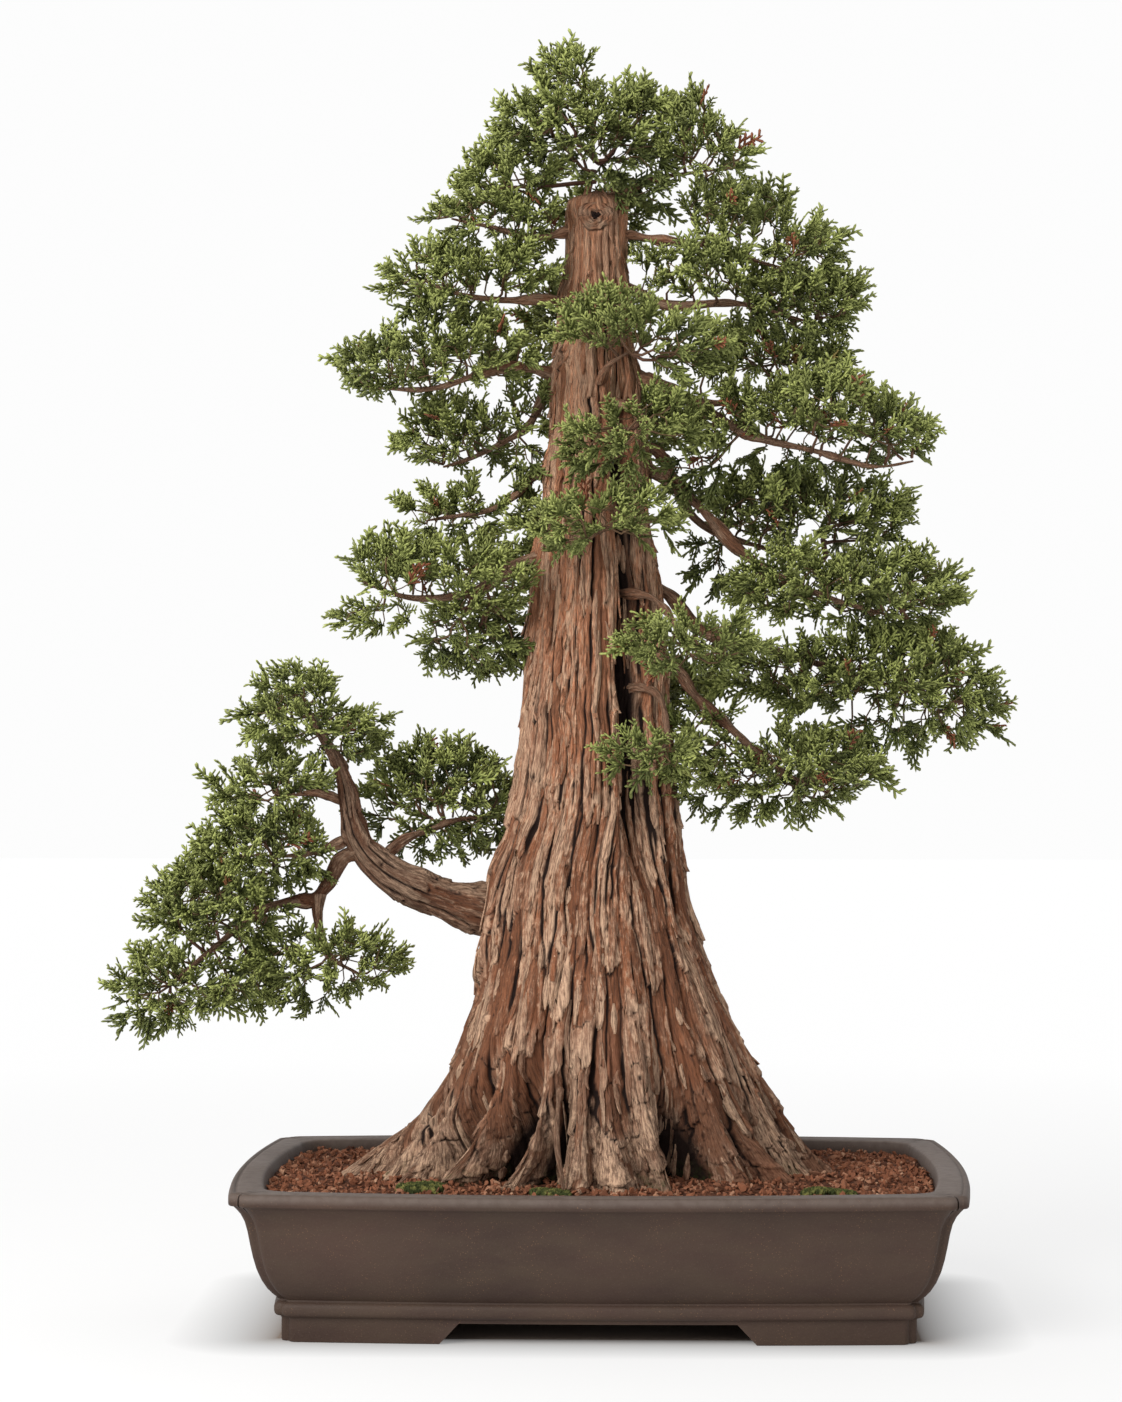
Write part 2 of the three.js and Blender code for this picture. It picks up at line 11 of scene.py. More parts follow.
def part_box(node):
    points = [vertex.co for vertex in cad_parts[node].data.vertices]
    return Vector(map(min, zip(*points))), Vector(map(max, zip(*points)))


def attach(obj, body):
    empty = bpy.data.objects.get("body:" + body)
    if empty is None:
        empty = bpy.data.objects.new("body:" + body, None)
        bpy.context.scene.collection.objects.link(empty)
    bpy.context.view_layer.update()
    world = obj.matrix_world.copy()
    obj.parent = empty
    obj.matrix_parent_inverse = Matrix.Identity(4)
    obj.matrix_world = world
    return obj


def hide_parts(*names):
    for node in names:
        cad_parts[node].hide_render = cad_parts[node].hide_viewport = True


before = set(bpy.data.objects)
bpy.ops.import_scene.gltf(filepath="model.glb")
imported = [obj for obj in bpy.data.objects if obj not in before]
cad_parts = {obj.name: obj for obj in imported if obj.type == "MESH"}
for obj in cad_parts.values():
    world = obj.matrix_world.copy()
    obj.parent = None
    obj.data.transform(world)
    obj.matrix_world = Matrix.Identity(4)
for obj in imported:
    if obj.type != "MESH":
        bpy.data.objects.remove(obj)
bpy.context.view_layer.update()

bl_info = {
    "name": "Juniper bonsai",
    "version": (1, 0, 0),
    "blender": (4, 5, 0),
    "location": "3D View > Sidebar > Bonsai",
    "description": "Builds a juniper bonsai in a clay pot, piece by piece",
    "category": "Object",
}

MM = 0.001

# ------------------------------------------------------------------ places taken from the frame

POT_LOW, POT_HIGH = (np.array(corner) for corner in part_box("pot"))
POT_CENTRE = (POT_LOW + POT_HIGH) / 2
POT_HEIGHT = POT_HIGH[2]
SOIL_LEVEL = POT_HEIGHT - 8 * MM
TRUNK_X = POT_CENTRE[0] - 4 * MM
TRUNK_Y = POT_CENTRE[1]

# Routes of the wood, in millimetres from the trunk's middle at a share of its height:
# name, share, radius at the root and at the tip, points.
BRANCHES = (
    ("left_1", 0.937, 4.2, 2.0, ((0, 0, 0), (-18, 0, -3), (-42, -6, -10), (-72, -10, -2), (-92, -10, 5))),
    ("left_2", 0.861, 4.6, 2.0, ((0, 0, 0), (-22, 0, 0), (-54, -6, 0), (-92, -14, 8), (-114, -16, 15))),
    ("left_3", 0.782, 5.6, 2.2, ((0, 0, 0), (-26, 0, 5), (-60, -10, 7), (-105, -20, -3), (-142, -20, -6))),
    ("left_4", 0.79, 5.4, 2.2, ((0, 0, 0), (-31, 8, -9), (-44, 16, -34), (-69, 22, -47), (-100, 26, -56))),
    ("left_5", 0.705, 5.2, 2.0, ((0, 0, 0), (-36, 6, -8), (-62, 12, -26), (-88, 14, -35), (-110, 14, -40))),
    ("left_6", 0.618, 6.2, 2.4, ((0, 0, 0), (-41, -4, -6), (-74, -14, -28), (-112, -22, -30), (-146, -24, -23))),
    ("crown_right", 0.962, 4.6, 2.0, ((0, 0, 0), (19, 4, 5), (45, 4, 13), (70, 2, 19))),
    ("right_1", 0.928, 4.8, 2.0, ((0, 0, 0), (21, 4, 1), (45, 6, -5), (87, 4, -11), (120, 0, -20))),
    ("right_2", 0.873, 5.0, 2.2, ((0, 0, 0), (23, 4, 2), (48, 10, -7), (93, 14, -10), (142, 14, -18))),
    ("right_3", 0.8, 4.8, 2.0, ((0, 0, 0), (28, 10, -4), (67, 22, -24), (107, 34, -22), (137, 38, -12))),
    ("right_4", 0.785, 6.4, 2.4,
     ((0, 0, 0), (32, -8, -3), (67, -20, -20), (118, -28, -43), (169, -26, -57), (202, -20, -52))),
    ("right_5", 0.722, 5.4, 2.2, ((0, 0, 0), (38, 8, -6), (67, 20, -47), (107, 28, -68), (146, 32, -76))),
    ("right_6", 0.7, 6.6, 2.4,
     ((0, 0, 0), (38, -2, -4), (61, -8, -24), (93, -16, -53), (144, -20, -86), (196, -18, -96))),
    ("right_7", 0.58, 6.6, 2.4,
     ((0, 0, 0), (43, 6, -3), (67, 10, -24), (113, 12, -42), (164, 10, -54), (228, 4, -74))),
    ("right_8", 0.513, 6.2, 2.4, ((0, 0, 0), (47, -4, -4), (67, -14, -28), (96, -20, -57), (142, -20, -84))),
)
SPURS = (
    ("front_1", 0.779, 4.4, 2.4, ((0, 0, 0), (2, -26, 2), (9, -50, 10), (24, -70, 14))),
    ("front_2", 0.762, 4.4, 2.4, ((0, 0, 0), (15, -26, -2), (28, -48, -8), (32, -64, -20))),
    ("front_3", 0.652, 4.4, 2.4, ((0, 0, 0), (14, -36, 0), (14, -58, -10), (4, -76, -14))),
    ("front_4", 0.575, 4.6, 2.4, ((0, 0, 0), (34, -32, -2), (54, -62, -34), (60, -78, -40))),
    ("front_5", 0.478, 4.4, 2.4, ((0, 0, 0), (36, -38, -2), (48, -64, -28), (44, -78, -38))),
    ("back_1", 0.93, 4.4, 2.4, ((0, 0, 0), (3, 24, 0), (6, 44, 2), (8, 60, 6))),
    ("back_2", 0.83, 5.0, 2.4, ((0, 0, 0), (-4, 28, 0), (-2, 58, 2), (0, 82, 8))),
    ("back_3", 0.739, 5.6, 2.4, ((0, 0, 0), (4, 34, -4), (10, 70, -6), (14, 102, -2))),
    ("back_4", 0.608, 6.4, 2.4, ((0, 0, 0), (-4, 40, -4), (-8, 80, -12), (-10, 110, -14))),
    ("back_5", 0.476, 5.8, 2.4, ((0, 0, 0), (14, 44, -4), (26, 80, -8), (32, 110, -8))),
)
LOW_RISE = 0.258
LOW_LIMBS = (
    ("low_rising", LOW_RISE, 20.0, 5.0,
     ((0, 0, -6), (-59, 0, 1), (-87, -4, 6), (-113, -8, 16), (-135, -12, 30), (-150, -14, 45),
      (-157, -14, 62), (-161, -12, 81), (-167, -8, 99), (-176, -4, 116), (-186, -4, 134))),
    ("low_rear", LOW_RISE, 4.2, 2.2, ((-138, -12, 36), (-118, 4, 52), (-95, 18, 62), (-72, 30, 62))),
    ("low_falling", LOW_RISE, 8.0, 2.6,
     ((-148, -14, 42), (-164, -18, 37), (-173, -20, 20), (-181, -22, 10), (-198, -22, 7),
      (-220, -24, -1), (-249, -24, -21), (-272, -22, -44))),
    ("low_returning", LOW_RISE, 4.6, 2.4, ((-178, -21, 14), (-178, -24, -8), (-172, -26, -26), (-150, -28, -36))),
    ("low_middle", LOW_RISE, 4.0, 2.0, ((-160, -13, 72), (-178, -16, 78), (-204, -18, 78))),
    ("low_shoulder", LOW_RISE, 4.4, 2.0, ((-156, -15, 50), (-176, -20, 44), (-206, -24, 38))),
)

HANGING_ROOT = ((-21, -74, 64), (-21, -84, 52), (-20, -92, 30), (-18, -98, 12), (-17, -101, -4))

# Which wood carries each pad of foliage.
PAD_WOOD = {
    "crown": ("tip",),
    "crown_left": ("tip",),
    "low_apex": ("low_rising",),
    "low_middle": ("low_middle",),
    "low_shoulder": ("low_shoulder",),
    "low_fall": ("low_falling",),
    "low_tip": ("low_falling",),
    "low_inner": ("low_returning", "low_falling"),
    "low_rear": ("low_rear",),
}


def settings():
    return bpy.context.scene


# ------------------------------------------------------------------ properties


def length(name, description, default):
    return FloatProperty(name=name, description=description, default=default, unit="LENGTH", precision=4)


def colour(name, description, default):
    return FloatVectorProperty(
        name=name, description=description, default=default, subtype="COLOR", size=3, min=0, max=1
    )


class BonsaiPotSettings(bpy.types.PropertyGroup):
    rim_width: length("Rim width", "Width of the flat rim", 0.019)
    front_bow: length("Front bow", "How far the long sides swell outwards at the rim", 0.014)
    side_bow: length("Side bow", "How far the short sides swell outwards at the rim", 0.008)
    corner_step: length("Corner step", "Size of the re-entrant step at each corner", 0.007)
    foot_height: length("Foot height", "Height of the gaps between the feet", 0.013)
    clay: colour("Clay", "The fired clay's colour", (0.044, 0.0240, 0.0178))
    clay_light: colour("Worn clay", "The clay's colour where it is rubbed", (0.150, 0.118, 0.102))


class BonsaiTrunkSettings(bpy.types.PropertyGroup):
    height: length("Height", "From the soil to the trunk's tip", 0.655)
    foot_radius: length("Foot radius", "The trunk's radius at the soil, without the roots", 0.075)
    tip_radius: length("Tip radius", "The trunk's radius at its tip", 0.013)
    root_flare: length("Root flare", "How far the roots spread beyond the trunk's foot", 0.084)
    flare_height: length("Flare height", "Height over which the flare fades", 0.064)
    root_columns: IntProperty(name="Root columns", description="Points round the roots", default=800, min=24)
    root_rows: IntProperty(name="Root rows", description="Points up the roots", default=122, min=12)
    columns: IntProperty(name="Columns", description="Points round the trunk", default=440, min=24)
    rows: IntProperty(name="Rows", description="Points up the trunk", default=224, min=12)
    flakes: IntProperty(name="Flakes", description="How many loose flakes of bark", default=900, min=0)
    red: colour("Red bark", "Fresh bark", (0.30, 0.117, 0.057))
    grey: colour("Grey bark", "Weathered bark", (0.315, 0.205, 0.140))
    # The furrow colour also serves as painted shade in the hollows and under lifted strip ends.
    furrow: colour("Furrow", "Depths between the bark's strips", (0.016, 0.008, 0.006))


class BonsaiFoliageSettings(bpy.types.PropertyGroup):
    spacing: length("Spacing", "Distance between the nodes of the twigs", 0.01025)
    frond_length: length("Frond length", "Length of one spray of shoots", 0.0188)
    shoot_width: length("Shoot width", "Width of one scale-leaved shoot", 0.00158)
    seed: IntProperty(name="Seed", description="Starts the random draws", default=7)
    leaf: colour("Leaf", "Full-grown scale leaves", (0.080, 0.099, 0.023))
    leaf_tip: colour("Leaf tip", "Young tips", (0.35, 0.385, 0.118))
    # Also used as painted shade on the pads' undersides.
    old_leaf_and_painted_shade: colour("Old leaf", "Inner leaves", (0.033, 0.045, 0.014))
    withered: colour("Withered leaf", "The few dead shoots", (0.24, 0.085, 0.042))
    twig: colour("Twig", "Bark of the twigs", (0.125, 0.058, 0.036))


class BonsaiSoilSettings(bpy.types.PropertyGroup):
    grain: length("Grain", "Mean size of a grain of soil", 0.0045)
    grains: IntProperty(name="Grains", description="How many grains lie on top", default=5900, min=10)
    red: colour("Red grain", "Most grains", (0.29, 0.110, 0.056))
    pale: colour("Pale grain", "The palest grains", (0.52, 0.30, 0.19))
    dark: colour("Dark grain", "The darkest grains", (0.045, 0.016, 0.009))
    moss: colour("Moss", "Moss on the soil and the roots", (0.036, 0.046, 0.012))


class BonsaiStageSettings(bpy.types.PropertyGroup):
    floor: colour("Floor", "The pale floor", (0.28, 0.28, 0.28))
    key_power: FloatProperty(name="Key light", description="Power of the key light", default=95.0, unit="POWER")
    fill_power: FloatProperty(name="Fill light", description="Power of the fill light", default=5.5, unit="POWER")
    lens: length("Lens", "Focal length of the camera, in metres", 0.09757)


SETTINGS = {
    "bonsai_pot": BonsaiPotSettings,
    "bonsai_trunk": BonsaiTrunkSettings,
    "bonsai_foliage": BonsaiFoliageSettings,
    "bonsai_soil": BonsaiSoilSettings,
    "bonsai_stage": BonsaiStageSettings,
}

# ------------------------------------------------------------------ mesh helpers


def make_mesh(name, points, faces, material, smooth=True):
    """A mesh object from its points and one or more arrays of faces, each with its own number of corners."""
    groups = faces if isinstance(faces, list) else [faces]
    mesh = bpy.data.meshes.new(name)
    mesh.vertices.add(len(points))
    mesh.vertices.foreach_set("co", np.asarray(points, np.float32).ravel())
    corners = np.concatenate([group.ravel() for group in groups]).astype(np.int32)
    sizes = np.concatenate([np.full(len(group), group.shape[1], np.int32) for group in groups])
    mesh.loops.add(len(corners))
    mesh.loops.foreach_set("vertex_index", corners)
    mesh.polygons.add(len(sizes))
    mesh.polygons.foreach_set("loop_start", np.concatenate([[0], np.cumsum(sizes)[:-1]]).astype(np.int32))
    mesh.update(calc_edges=True)
    mesh.polygons.foreach_set("use_smooth", np.full(len(sizes), smooth, bool))
    mesh.materials.append(material)
    piece = bpy.data.objects.new(name, mesh)
    bpy.context.collection.objects.link(piece)
    return piece


def add_numbers(piece, **attributes):
    """Numbers that the piece's material reads: one for each vertex, or one for all."""
    for name, values in attributes.items():
        layer = piece.data.attributes.new(name, "FLOAT", "POINT")
        layer.data.foreach_set("value", np.full(len(piece.data.vertices), values, np.float32))


def add_vector(piece, name, values):
    """A vector for each vertex, which the piece's material reads."""
    layer = piece.data.attributes.new(name, "FLOAT_VECTOR", "POINT")
    layer.data.foreach_set("vector", np.asarray(values, np.float32).ravel())


def add_map(piece, places):
    """The piece's own UV map, from a place for each vertex."""
    corner = np.empty(len(piece.data.loops), np.int32)
    piece.data.loops.foreach_get("vertex_index", corner)
    add_corner_map(piece, np.asarray(places)[corner])


def add_corner_map(piece, places):
    """The piece's own UV map, from a place for each face corner."""
    layer = piece.data.uv_layers.new(name="OFBake")
    layer.uv.foreach_set("vector", np.asarray(places, np.float32).ravel())


def tube_faces(rows, around):
    """Quads over rows of points, each row closed on itself."""
    row, i = np.meshgrid(np.arange(rows - 1), np.arange(around), indexing="ij")
    after = (i + 1) % around
    quads = np.stack([row * around + i, row * around + after, (row + 1) * around + after, (row + 1) * around + i], -1)
    return quads.reshape(-1, 4)


def cap_fan(around, rows, centre, upper):
    """Triangles that close a tube's first or last row on a centre."""
    i = np.arange(around)
    first = (rows - 1) * around if upper else 0
    ends = (first + i, first + (i + 1) % around) if upper else ((i + 1) % around, i)
    return np.stack([np.full(around, centre), *ends], -1)


def closed_tube(rows, around):
    """A tube's faces, with caps on the two points that follow its rows."""
    caps = [cap_fan(around, rows, rows * around + k, bool(k)) for k in range(2)]
    return [tube_faces(rows, around), np.vstack(caps)]


def copy_faces(faces, count, points, start=0):
    """The faces of many copies of a shape that has this many points."""
    offset = start + (np.arange(count) * points)[:, None, None]
    return (faces[None] + offset).reshape(-1, faces.shape[1])


def cell_corners(count, columns):
    """The corner of a small square of the map for each of many copies, used again past the last."""
    index = np.arange(count) % (columns * columns)
    return np.stack([index % columns, index // columns], -1) / columns + 0.05 / columns


def in_cells(cells, local, columns, filled=0.9):
    """A place on the map for each point of each copy, from its place in the filled share of a copy's square."""
    return (cells[:, None] + local[None] * filled / columns).reshape(-1, 2)


def unit(vectors):
    return vectors / (np.linalg.norm(vectors, axis=-1, keepdims=True) + 1e-12)


def seat(piece, slot, *nodes):
    """Hangs a finished piece under the root body and hides the nodes it stands in for."""
    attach(piece, "root")
    if nodes:
        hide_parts(*nodes)


def periodic_noise(turns, rise, across, seed, rows=97):
    """Smooth noise from 0 to 1 that closes on itself once round."""
    grid = np.random.default_rng(seed).random((rows, across))
    x = (turns % 1.0) * across
    column = np.floor(x).astype(int)
    row = np.floor(rise).astype(int)
    sx = x - column
    sy = rise - row
    sx = sx * sx * (3 - 2 * sx)
    sy = sy * sy * (3 - 2 * sy)
    left, right = column % across, (column + 1) % across
    low, high = row % rows, (row + 1) % rows
    near = grid[low, left] * (1 - sx) + grid[low, right] * sx
    far = grid[high, left] * (1 - sx) + grid[high, right] * sx
    return near * (1 - sy) + far * sy


# ------------------------------------------------------------------ materials


class Nodes:
    """A short way to wire a material."""

    def __init__(self, name, roughness=0.8, specular=0.35):
        self.material = bpy.data.materials.new(name)
        self.material.use_nodes = True
        self.tree = self.material.node_tree
        self.shader = self.tree.nodes["Principled BSDF"]
        self.shader.inputs["Roughness"].default_value = roughness
        self.shader.inputs["Specular IOR Level"].default_value = specular

    def add(self, kind, **values):
        node = self.tree.nodes.new(kind)
        for key, value in values.items():
            if key in node.inputs:
                self.feed(node.inputs[key], value)
            else:
                setattr(node, key, value)
        return node

    def feed(self, socket, value):
        if isinstance(value, bpy.types.NodeSocket):
            self.tree.links.new(value, socket)
        else:
            socket.default_value = value

    def place(self):
        return self.add("ShaderNodeTexCoord").outputs["Object"]

    def attribute(self, name, vector=False):
        node = self.add("ShaderNodeAttribute", attribute_name=name)
        return node.outputs["Vector" if vector else "Fac"]

    def scaled(self, vector, scale):
        node = self.add("ShaderNodeMapping", Vector=vector, Scale=scale)
        return node.outputs["Vector"]

    def noise(self, vector, scale, detail=3.0, roughness=0.55):
        node = self.add("ShaderNodeTexNoise", Vector=vector, Scale=scale, Detail=detail, Roughness=roughness)
        return node.outputs["Fac"]

    def cells(self, vector, scale):
        return self.add("ShaderNodeTexVoronoi", Vector=vector, Scale=scale).outputs["Distance"]

    def span(self, value, low, high, start=0.0, end=1.0):
        node = self.add("ShaderNodeMapRange")
        for key, number in zip(("Value", "From Min", "From Max", "To Min", "To Max"), (value, low, high, start, end)):
            self.feed(node.inputs[key], number)
        return node.outputs["Result"]

    def math(self, operation, first, second=0.0):
        node = self.add("ShaderNodeMath", operation=operation)
        self.feed(node.inputs[0], first)
        self.feed(node.inputs[1], second)
        return node.outputs[0]

    def mix(self, share, first, second, blend="MIX"):
        node = self.add("ShaderNodeMix", data_type="RGBA", blend_type=blend)
        self.feed(node.inputs["Factor"], share)
        colours = [socket for socket in node.inputs if socket.type == "RGBA"]
        for socket, value in zip(colours, (first, second)):
            self.feed(socket, value if isinstance(value, bpy.types.NodeSocket) else (*value, 1.0))
        return next(socket for socket in node.outputs if socket.type == "RGBA")

    def lay(self, base, share, amount, colour):
        """The base with an amount of a share of a colour laid over it."""
        return self.mix(self.math("MULTIPLY", share, amount), base, colour)

    def blend(self, share, first, second):
        node = self.add("ShaderNodeMix", data_type="FLOAT")
        for socket, value in zip((socket for socket in node.inputs if socket.enabled), (share, first, second)):
            self.feed(socket, value)
        return next(socket for socket in node.outputs if socket.enabled)

    def bump(self, height, distance, strength=1.0, normal=None):
        node = self.add("ShaderNodeBump", Height=height, Distance=distance, Strength=strength)
        if normal is not None:
            self.feed(node.inputs["Normal"], normal)
        return node.outputs["Normal"]

    def finish(self, colour=None, roughness=None, normal=None):
        for key, value in (("Base Color", colour), ("Roughness", roughness), ("Normal", normal)):
            if value is not None:
                self.feed(self.shader.inputs[key], value)
        return self.material


def toned(colour, share):
    """A colour made lighter or darker."""
    return tuple(min(c * share, 1.0) for c in colour)


def clay_finish():
    """Unglazed clay with fine light and rusty specks, paler in patches on the top of the rim."""
    pot = settings().bonsai_pot
    nodes = Nodes("clay_body", roughness=0.62, specular=0.22)
    place = nodes.place()
    cloud = nodes.span(nodes.noise(place, 11.0, 4.0), 0.3, 0.7)
    smear = nodes.span(nodes.noise(nodes.scaled(place, (1.0, 1.0, 3.0)), 26.0, 4.0), 0.35, 0.7)
    grain = nodes.noise(place, 900.0, 2.0)
    speck = nodes.span(nodes.cells(place, 620.0), 0.20, 0.06)
    rusty = nodes.span(nodes.noise(place, 45.0, 3.0), 0.48, 0.60)
    worn = nodes.attribute("worn")
    base = nodes.mix(cloud, toned(pot.clay, 0.72), toned(pot.clay, 1.25))
    base = nodes.lay(base, smear, 0.45, (0.062, 0.042, 0.026))
    base = nodes.lay(base, grain, 0.22, (0.11, 0.078, 0.060))
    base = nodes.lay(base, speck, 0.16, (0.26, 0.19, 0.145))
    base = nodes.lay(base, nodes.math("MULTIPLY", speck, rusty), 0.42, (0.34, 0.17, 0.07))
    patchy = nodes.span(nodes.noise(place, 160.0, 4.0), 0.25, 0.6, 0.55, 1.0)
    base = nodes.lay(base, worn, patchy, pot.clay_light)
    rough = nodes.span(cloud, 0.0, 1.0, 0.55, 0.70)
    normal = nodes.bump(grain, 0.0005, 0.4, nodes.bump(nodes.noise(place, 140.0, 3.0), 0.0008, 0.4))
    return nodes.finish(base, rough, normal)


def bark_finish(name="bark", reach=1.0, shade=1.0):
    """Fibrous bark: red where it is fresh, grey where it is weathered, dark in the furrows, with painted shade in the
    hollows and under the strips' lifted ends.
    """
    trunk = settings().bonsai_trunk
    red, grey = toned(trunk.red, shade), toned(trunk.grey, shade)
    nodes = Nodes(name, roughness=0.85, specular=0.18)
    flow = nodes.attribute("flow", vector=True)
    relief = nodes.attribute("relief")
    strip = nodes.attribute("strip")
    aged = nodes.attribute("aged")
    spread = nodes.attribute("spread")

    def grain(stretch, scale, detail, rough):
        """A pattern drawn out along the fibres, and drawn finer where the trunk is wide."""
        wide = nodes.noise(nodes.scaled(flow, (1.0, 1.0, stretch)), scale, detail, rough)
        fine = nodes.noise(nodes.scaled(flow, (2.6, 2.6, stretch)), scale, detail, rough)
        return nodes.blend(spread, wide, fine)

    fibre = grain(0.07, 1700.0 * reach, 3.0, 0.65)
    streak = grain(0.06, 420.0 * reach, 4.0, 0.6)
    patch = nodes.noise(nodes.scaled(flow, (1.0, 1.0, 0.30)), 34.0, 3.0)
    crumb = grain(0.30, 620.0 * reach, 4.0, 0.7)
    tone = nodes.math("ADD", aged, nodes.span(patch, 0.3, 0.7, -0.30, 0.42))
    tone = nodes.math("ADD", tone, nodes.span(strip, 0.0, 1.0, -0.45, 0.45))
    tone = nodes.math("ADD", tone, nodes.span(streak, 0.3, 0.7, -0.25, 0.25))
    parts = nodes.add("ShaderNodeSeparateXYZ", Vector=nodes.place())
    # Up the trunk the red is made much paler and a tan is laid over it: partly the bark's own tan, partly painted light
    # that lifts the upper trunk out of the foliage's shade.
    high = nodes.span(parts.outputs["Z"], 0.28, 0.66)
    red_with_painted_light = nodes.mix(high, red, toned(red, 2.7))
    base = nodes.mix(nodes.span(tone, 0.0, 1.0), red_with_painted_light, grey)
    base = nodes.lay(base, high, 0.36, toned((0.66, 0.40, 0.25), shade))
    deep = nodes.span(strip, 0.45, 0.0)
    base = nodes.lay(base, deep, 0.6, toned(red, 0.38))
    pale = nodes.span(nodes.math("ADD", crumb, nodes.math("MULTIPLY", strip, 0.30)), 0.60, 0.80)
    base = nodes.lay(base, pale, 0.75, toned((0.64, 0.42, 0.28), shade))
    dark = nodes.span(fibre, 0.55, 0.40)
    base = nodes.lay(base, dark, 0.70, (0.070, 0.032, 0.020))
    rust = nodes.span(patch, 0.56, 0.70)
    base = nodes.lay(base, nodes.math("MULTIPLY", rust, streak), 0.5, (0.33, 0.115, 0.055))
    # Near-black where relief is low: the furrows' own dark colour, and painted shade in the hollows and under the
    # strips' lifted ends.
    base = nodes.mix(nodes.span(relief, 0.68, 0.22), base, trunk.furrow)
    mossy = nodes.math("MULTIPLY", nodes.attribute("mossy"), nodes.span(crumb, 0.46, 0.60))
    base = nodes.mix(mossy, base, settings().bonsai_soil.moss)
    normal = nodes.bump(crumb, 0.0020, 0.7, nodes.bump(fibre, 0.0012, 0.9, nodes.bump(streak, 0.0026, 0.9)))
    return nodes.finish(base, None, normal)


def leaf_finish():
    """Scale leaves: darker at the base of a shoot, yellow-green at its tip, darker as old leaves deep in a pad and as
    painted shade on a pad's lower side.
    """
    foliage = settings().bonsai_foliage
    nodes = Nodes("scale_leaves", roughness=0.6, specular=0.22)
    along = nodes.attribute("along")
    tint = nodes.attribute("tint")
    outer = nodes.attribute("outer")
    base = nodes.mix(nodes.span(along, 0.1, 1.0), foliage.leaf, foliage.leaf_tip)
    fresh = nodes.span(tint, 0.0, 0.9, 0.72, 1.22)
    tone = nodes.add("ShaderNodeCombineColor", Red=fresh, Green=fresh, Blue=fresh)
    base = nodes.mix(1.0, base, tone.outputs[0], "MULTIPLY")
    # Where outer is low: old inner leaves deep in a pad, and painted shade on the pad's lower side.
    base = nodes.mix(nodes.span(outer, 0.65, 0.0, 0.0, 0.85), base, foliage.old_leaf_and_painted_shade)
    base = nodes.mix(nodes.span(tint, 0.992, 0.994), base, foliage.withered)
    scales = nodes.cells(nodes.place(), 900.0)
    return nodes.finish(base, None, nodes.bump(scales, 0.0003, 0.4))


def twig_finish():
    foliage = settings().bonsai_foliage
    nodes = Nodes("twig_bark", roughness=0.75, specular=0.3)
    place = nodes.place()
    thin = nodes.attribute("along")
    base = nodes.mix(nodes.noise(place, 260.0, 3.0), toned(foliage.twig, 0.55), toned(foliage.twig, 1.35))
    base = nodes.lay(base, thin, 0.35, (0.12, 0.14, 0.04))
    return nodes.finish(base, None, nodes.bump(nodes.noise(place, 700.0, 2.0), 0.0006, 0.7))


def grain_finish():
    soil = settings().bonsai_soil
    nodes = Nodes("soil_grain", roughness=0.9, specular=0.2)
    place = nodes.place()
    tint = nodes.attribute("tint")
    base = nodes.mix(nodes.span(tint, 0.0, 0.55), soil.dark, soil.red)
    base = nodes.mix(nodes.span(tint, 0.58, 1.0), base, soil.pale)
    base = nodes.lay(base, nodes.noise(place, 800.0, 3.0), 0.5, soil.dark)
    return nodes.finish(base, None, nodes.bump(nodes.noise(place, 1400.0, 3.0), 0.0006, 0.8))


def bed_finish():
    soil = settings().bonsai_soil
    nodes = Nodes("soil_bed", roughness=0.95, specular=0.15)
    place = nodes.place()
    # Painted shade: the bed is darker than the grains on it, so the gaps between grains read as shadow.
    base = nodes.mix(nodes.cells(place, 300.0), toned(soil.dark, 0.4), toned(soil.red, 0.6))
    return nodes.finish(base, None, nodes.bump(nodes.cells(place, 420.0), 0.002, 0.8))


def moss_finish():
    soil = settings().bonsai_soil
    nodes = Nodes("moss", roughness=0.9, specular=0.2)
    along = nodes.attribute("along")
    base = nodes.mix(along, toned(soil.moss, 0.4), toned(soil.moss, 1.5))
    base = nodes.mix(nodes.span(nodes.noise(nodes.place(), 220.0, 2.0), 0.45, 0.75), base, (0.22, 0.21, 0.06))
    return nodes.finish(base, None, nodes.bump(nodes.noise(nodes.place(), 1800.0, 2.0), 0.0005, 0.6))


def netting_finish():
    nodes = Nodes("netting", specular=0.4)
    rough = nodes.span(nodes.noise(nodes.place(), 500.0, 2.0), 0.3, 0.7, 0.45, 0.65)
    base = nodes.mix(nodes.noise(nodes.place(), 120.0, 2.0), (0.02, 0.02, 0.02), (0.045, 0.045, 0.045))
    return nodes.finish(base, rough, nodes.bump(nodes.noise(nodes.place(), 900.0, 2.0), 0.0002, 0.4))


# ------------------------------------------------------------------ trunk shape

# Hollows between the roots: heading and half-width in degrees, depth share, height in mm, lean in degrees.
ROOT_HOLLOWS = (
    (207, 3.5, 0.20, 40, 5),
    (220, 5.5, 0.48, 52, 10),
    (239, 6.0, 0.62, 56, 12),
    (256, 4.6, 0.52, 62, 5),
    (272, 3.0, 0.16, 60, -2),
    (284, 3.5, 0.20, 50, -4),
    (303, 10.0, 0.62, 56, -4),
    (322, 4.5, 0.20, 60, -5),
    (338, 5.0, 0.26, 60, -6),
    (352, 4.5, 0.24, 50, -5),
    (12, 7.0, 0.24, 50, 0),
    (38, 9.0, 0.34, 70, 6),
    (62, 6.0, 0.24, 50, 4),
    (84, 10.0, 0.40, 110, -5),
    (108, 6.0, 0.26, 60, 6),
    (128, 9.0, 0.34, 60, -6),
    (152, 8.0, 0.30, 80, 4),
    (173, 5.0, 0.22, 40, -4),
    (194, 6.0, 0.28, 45, 4),
)
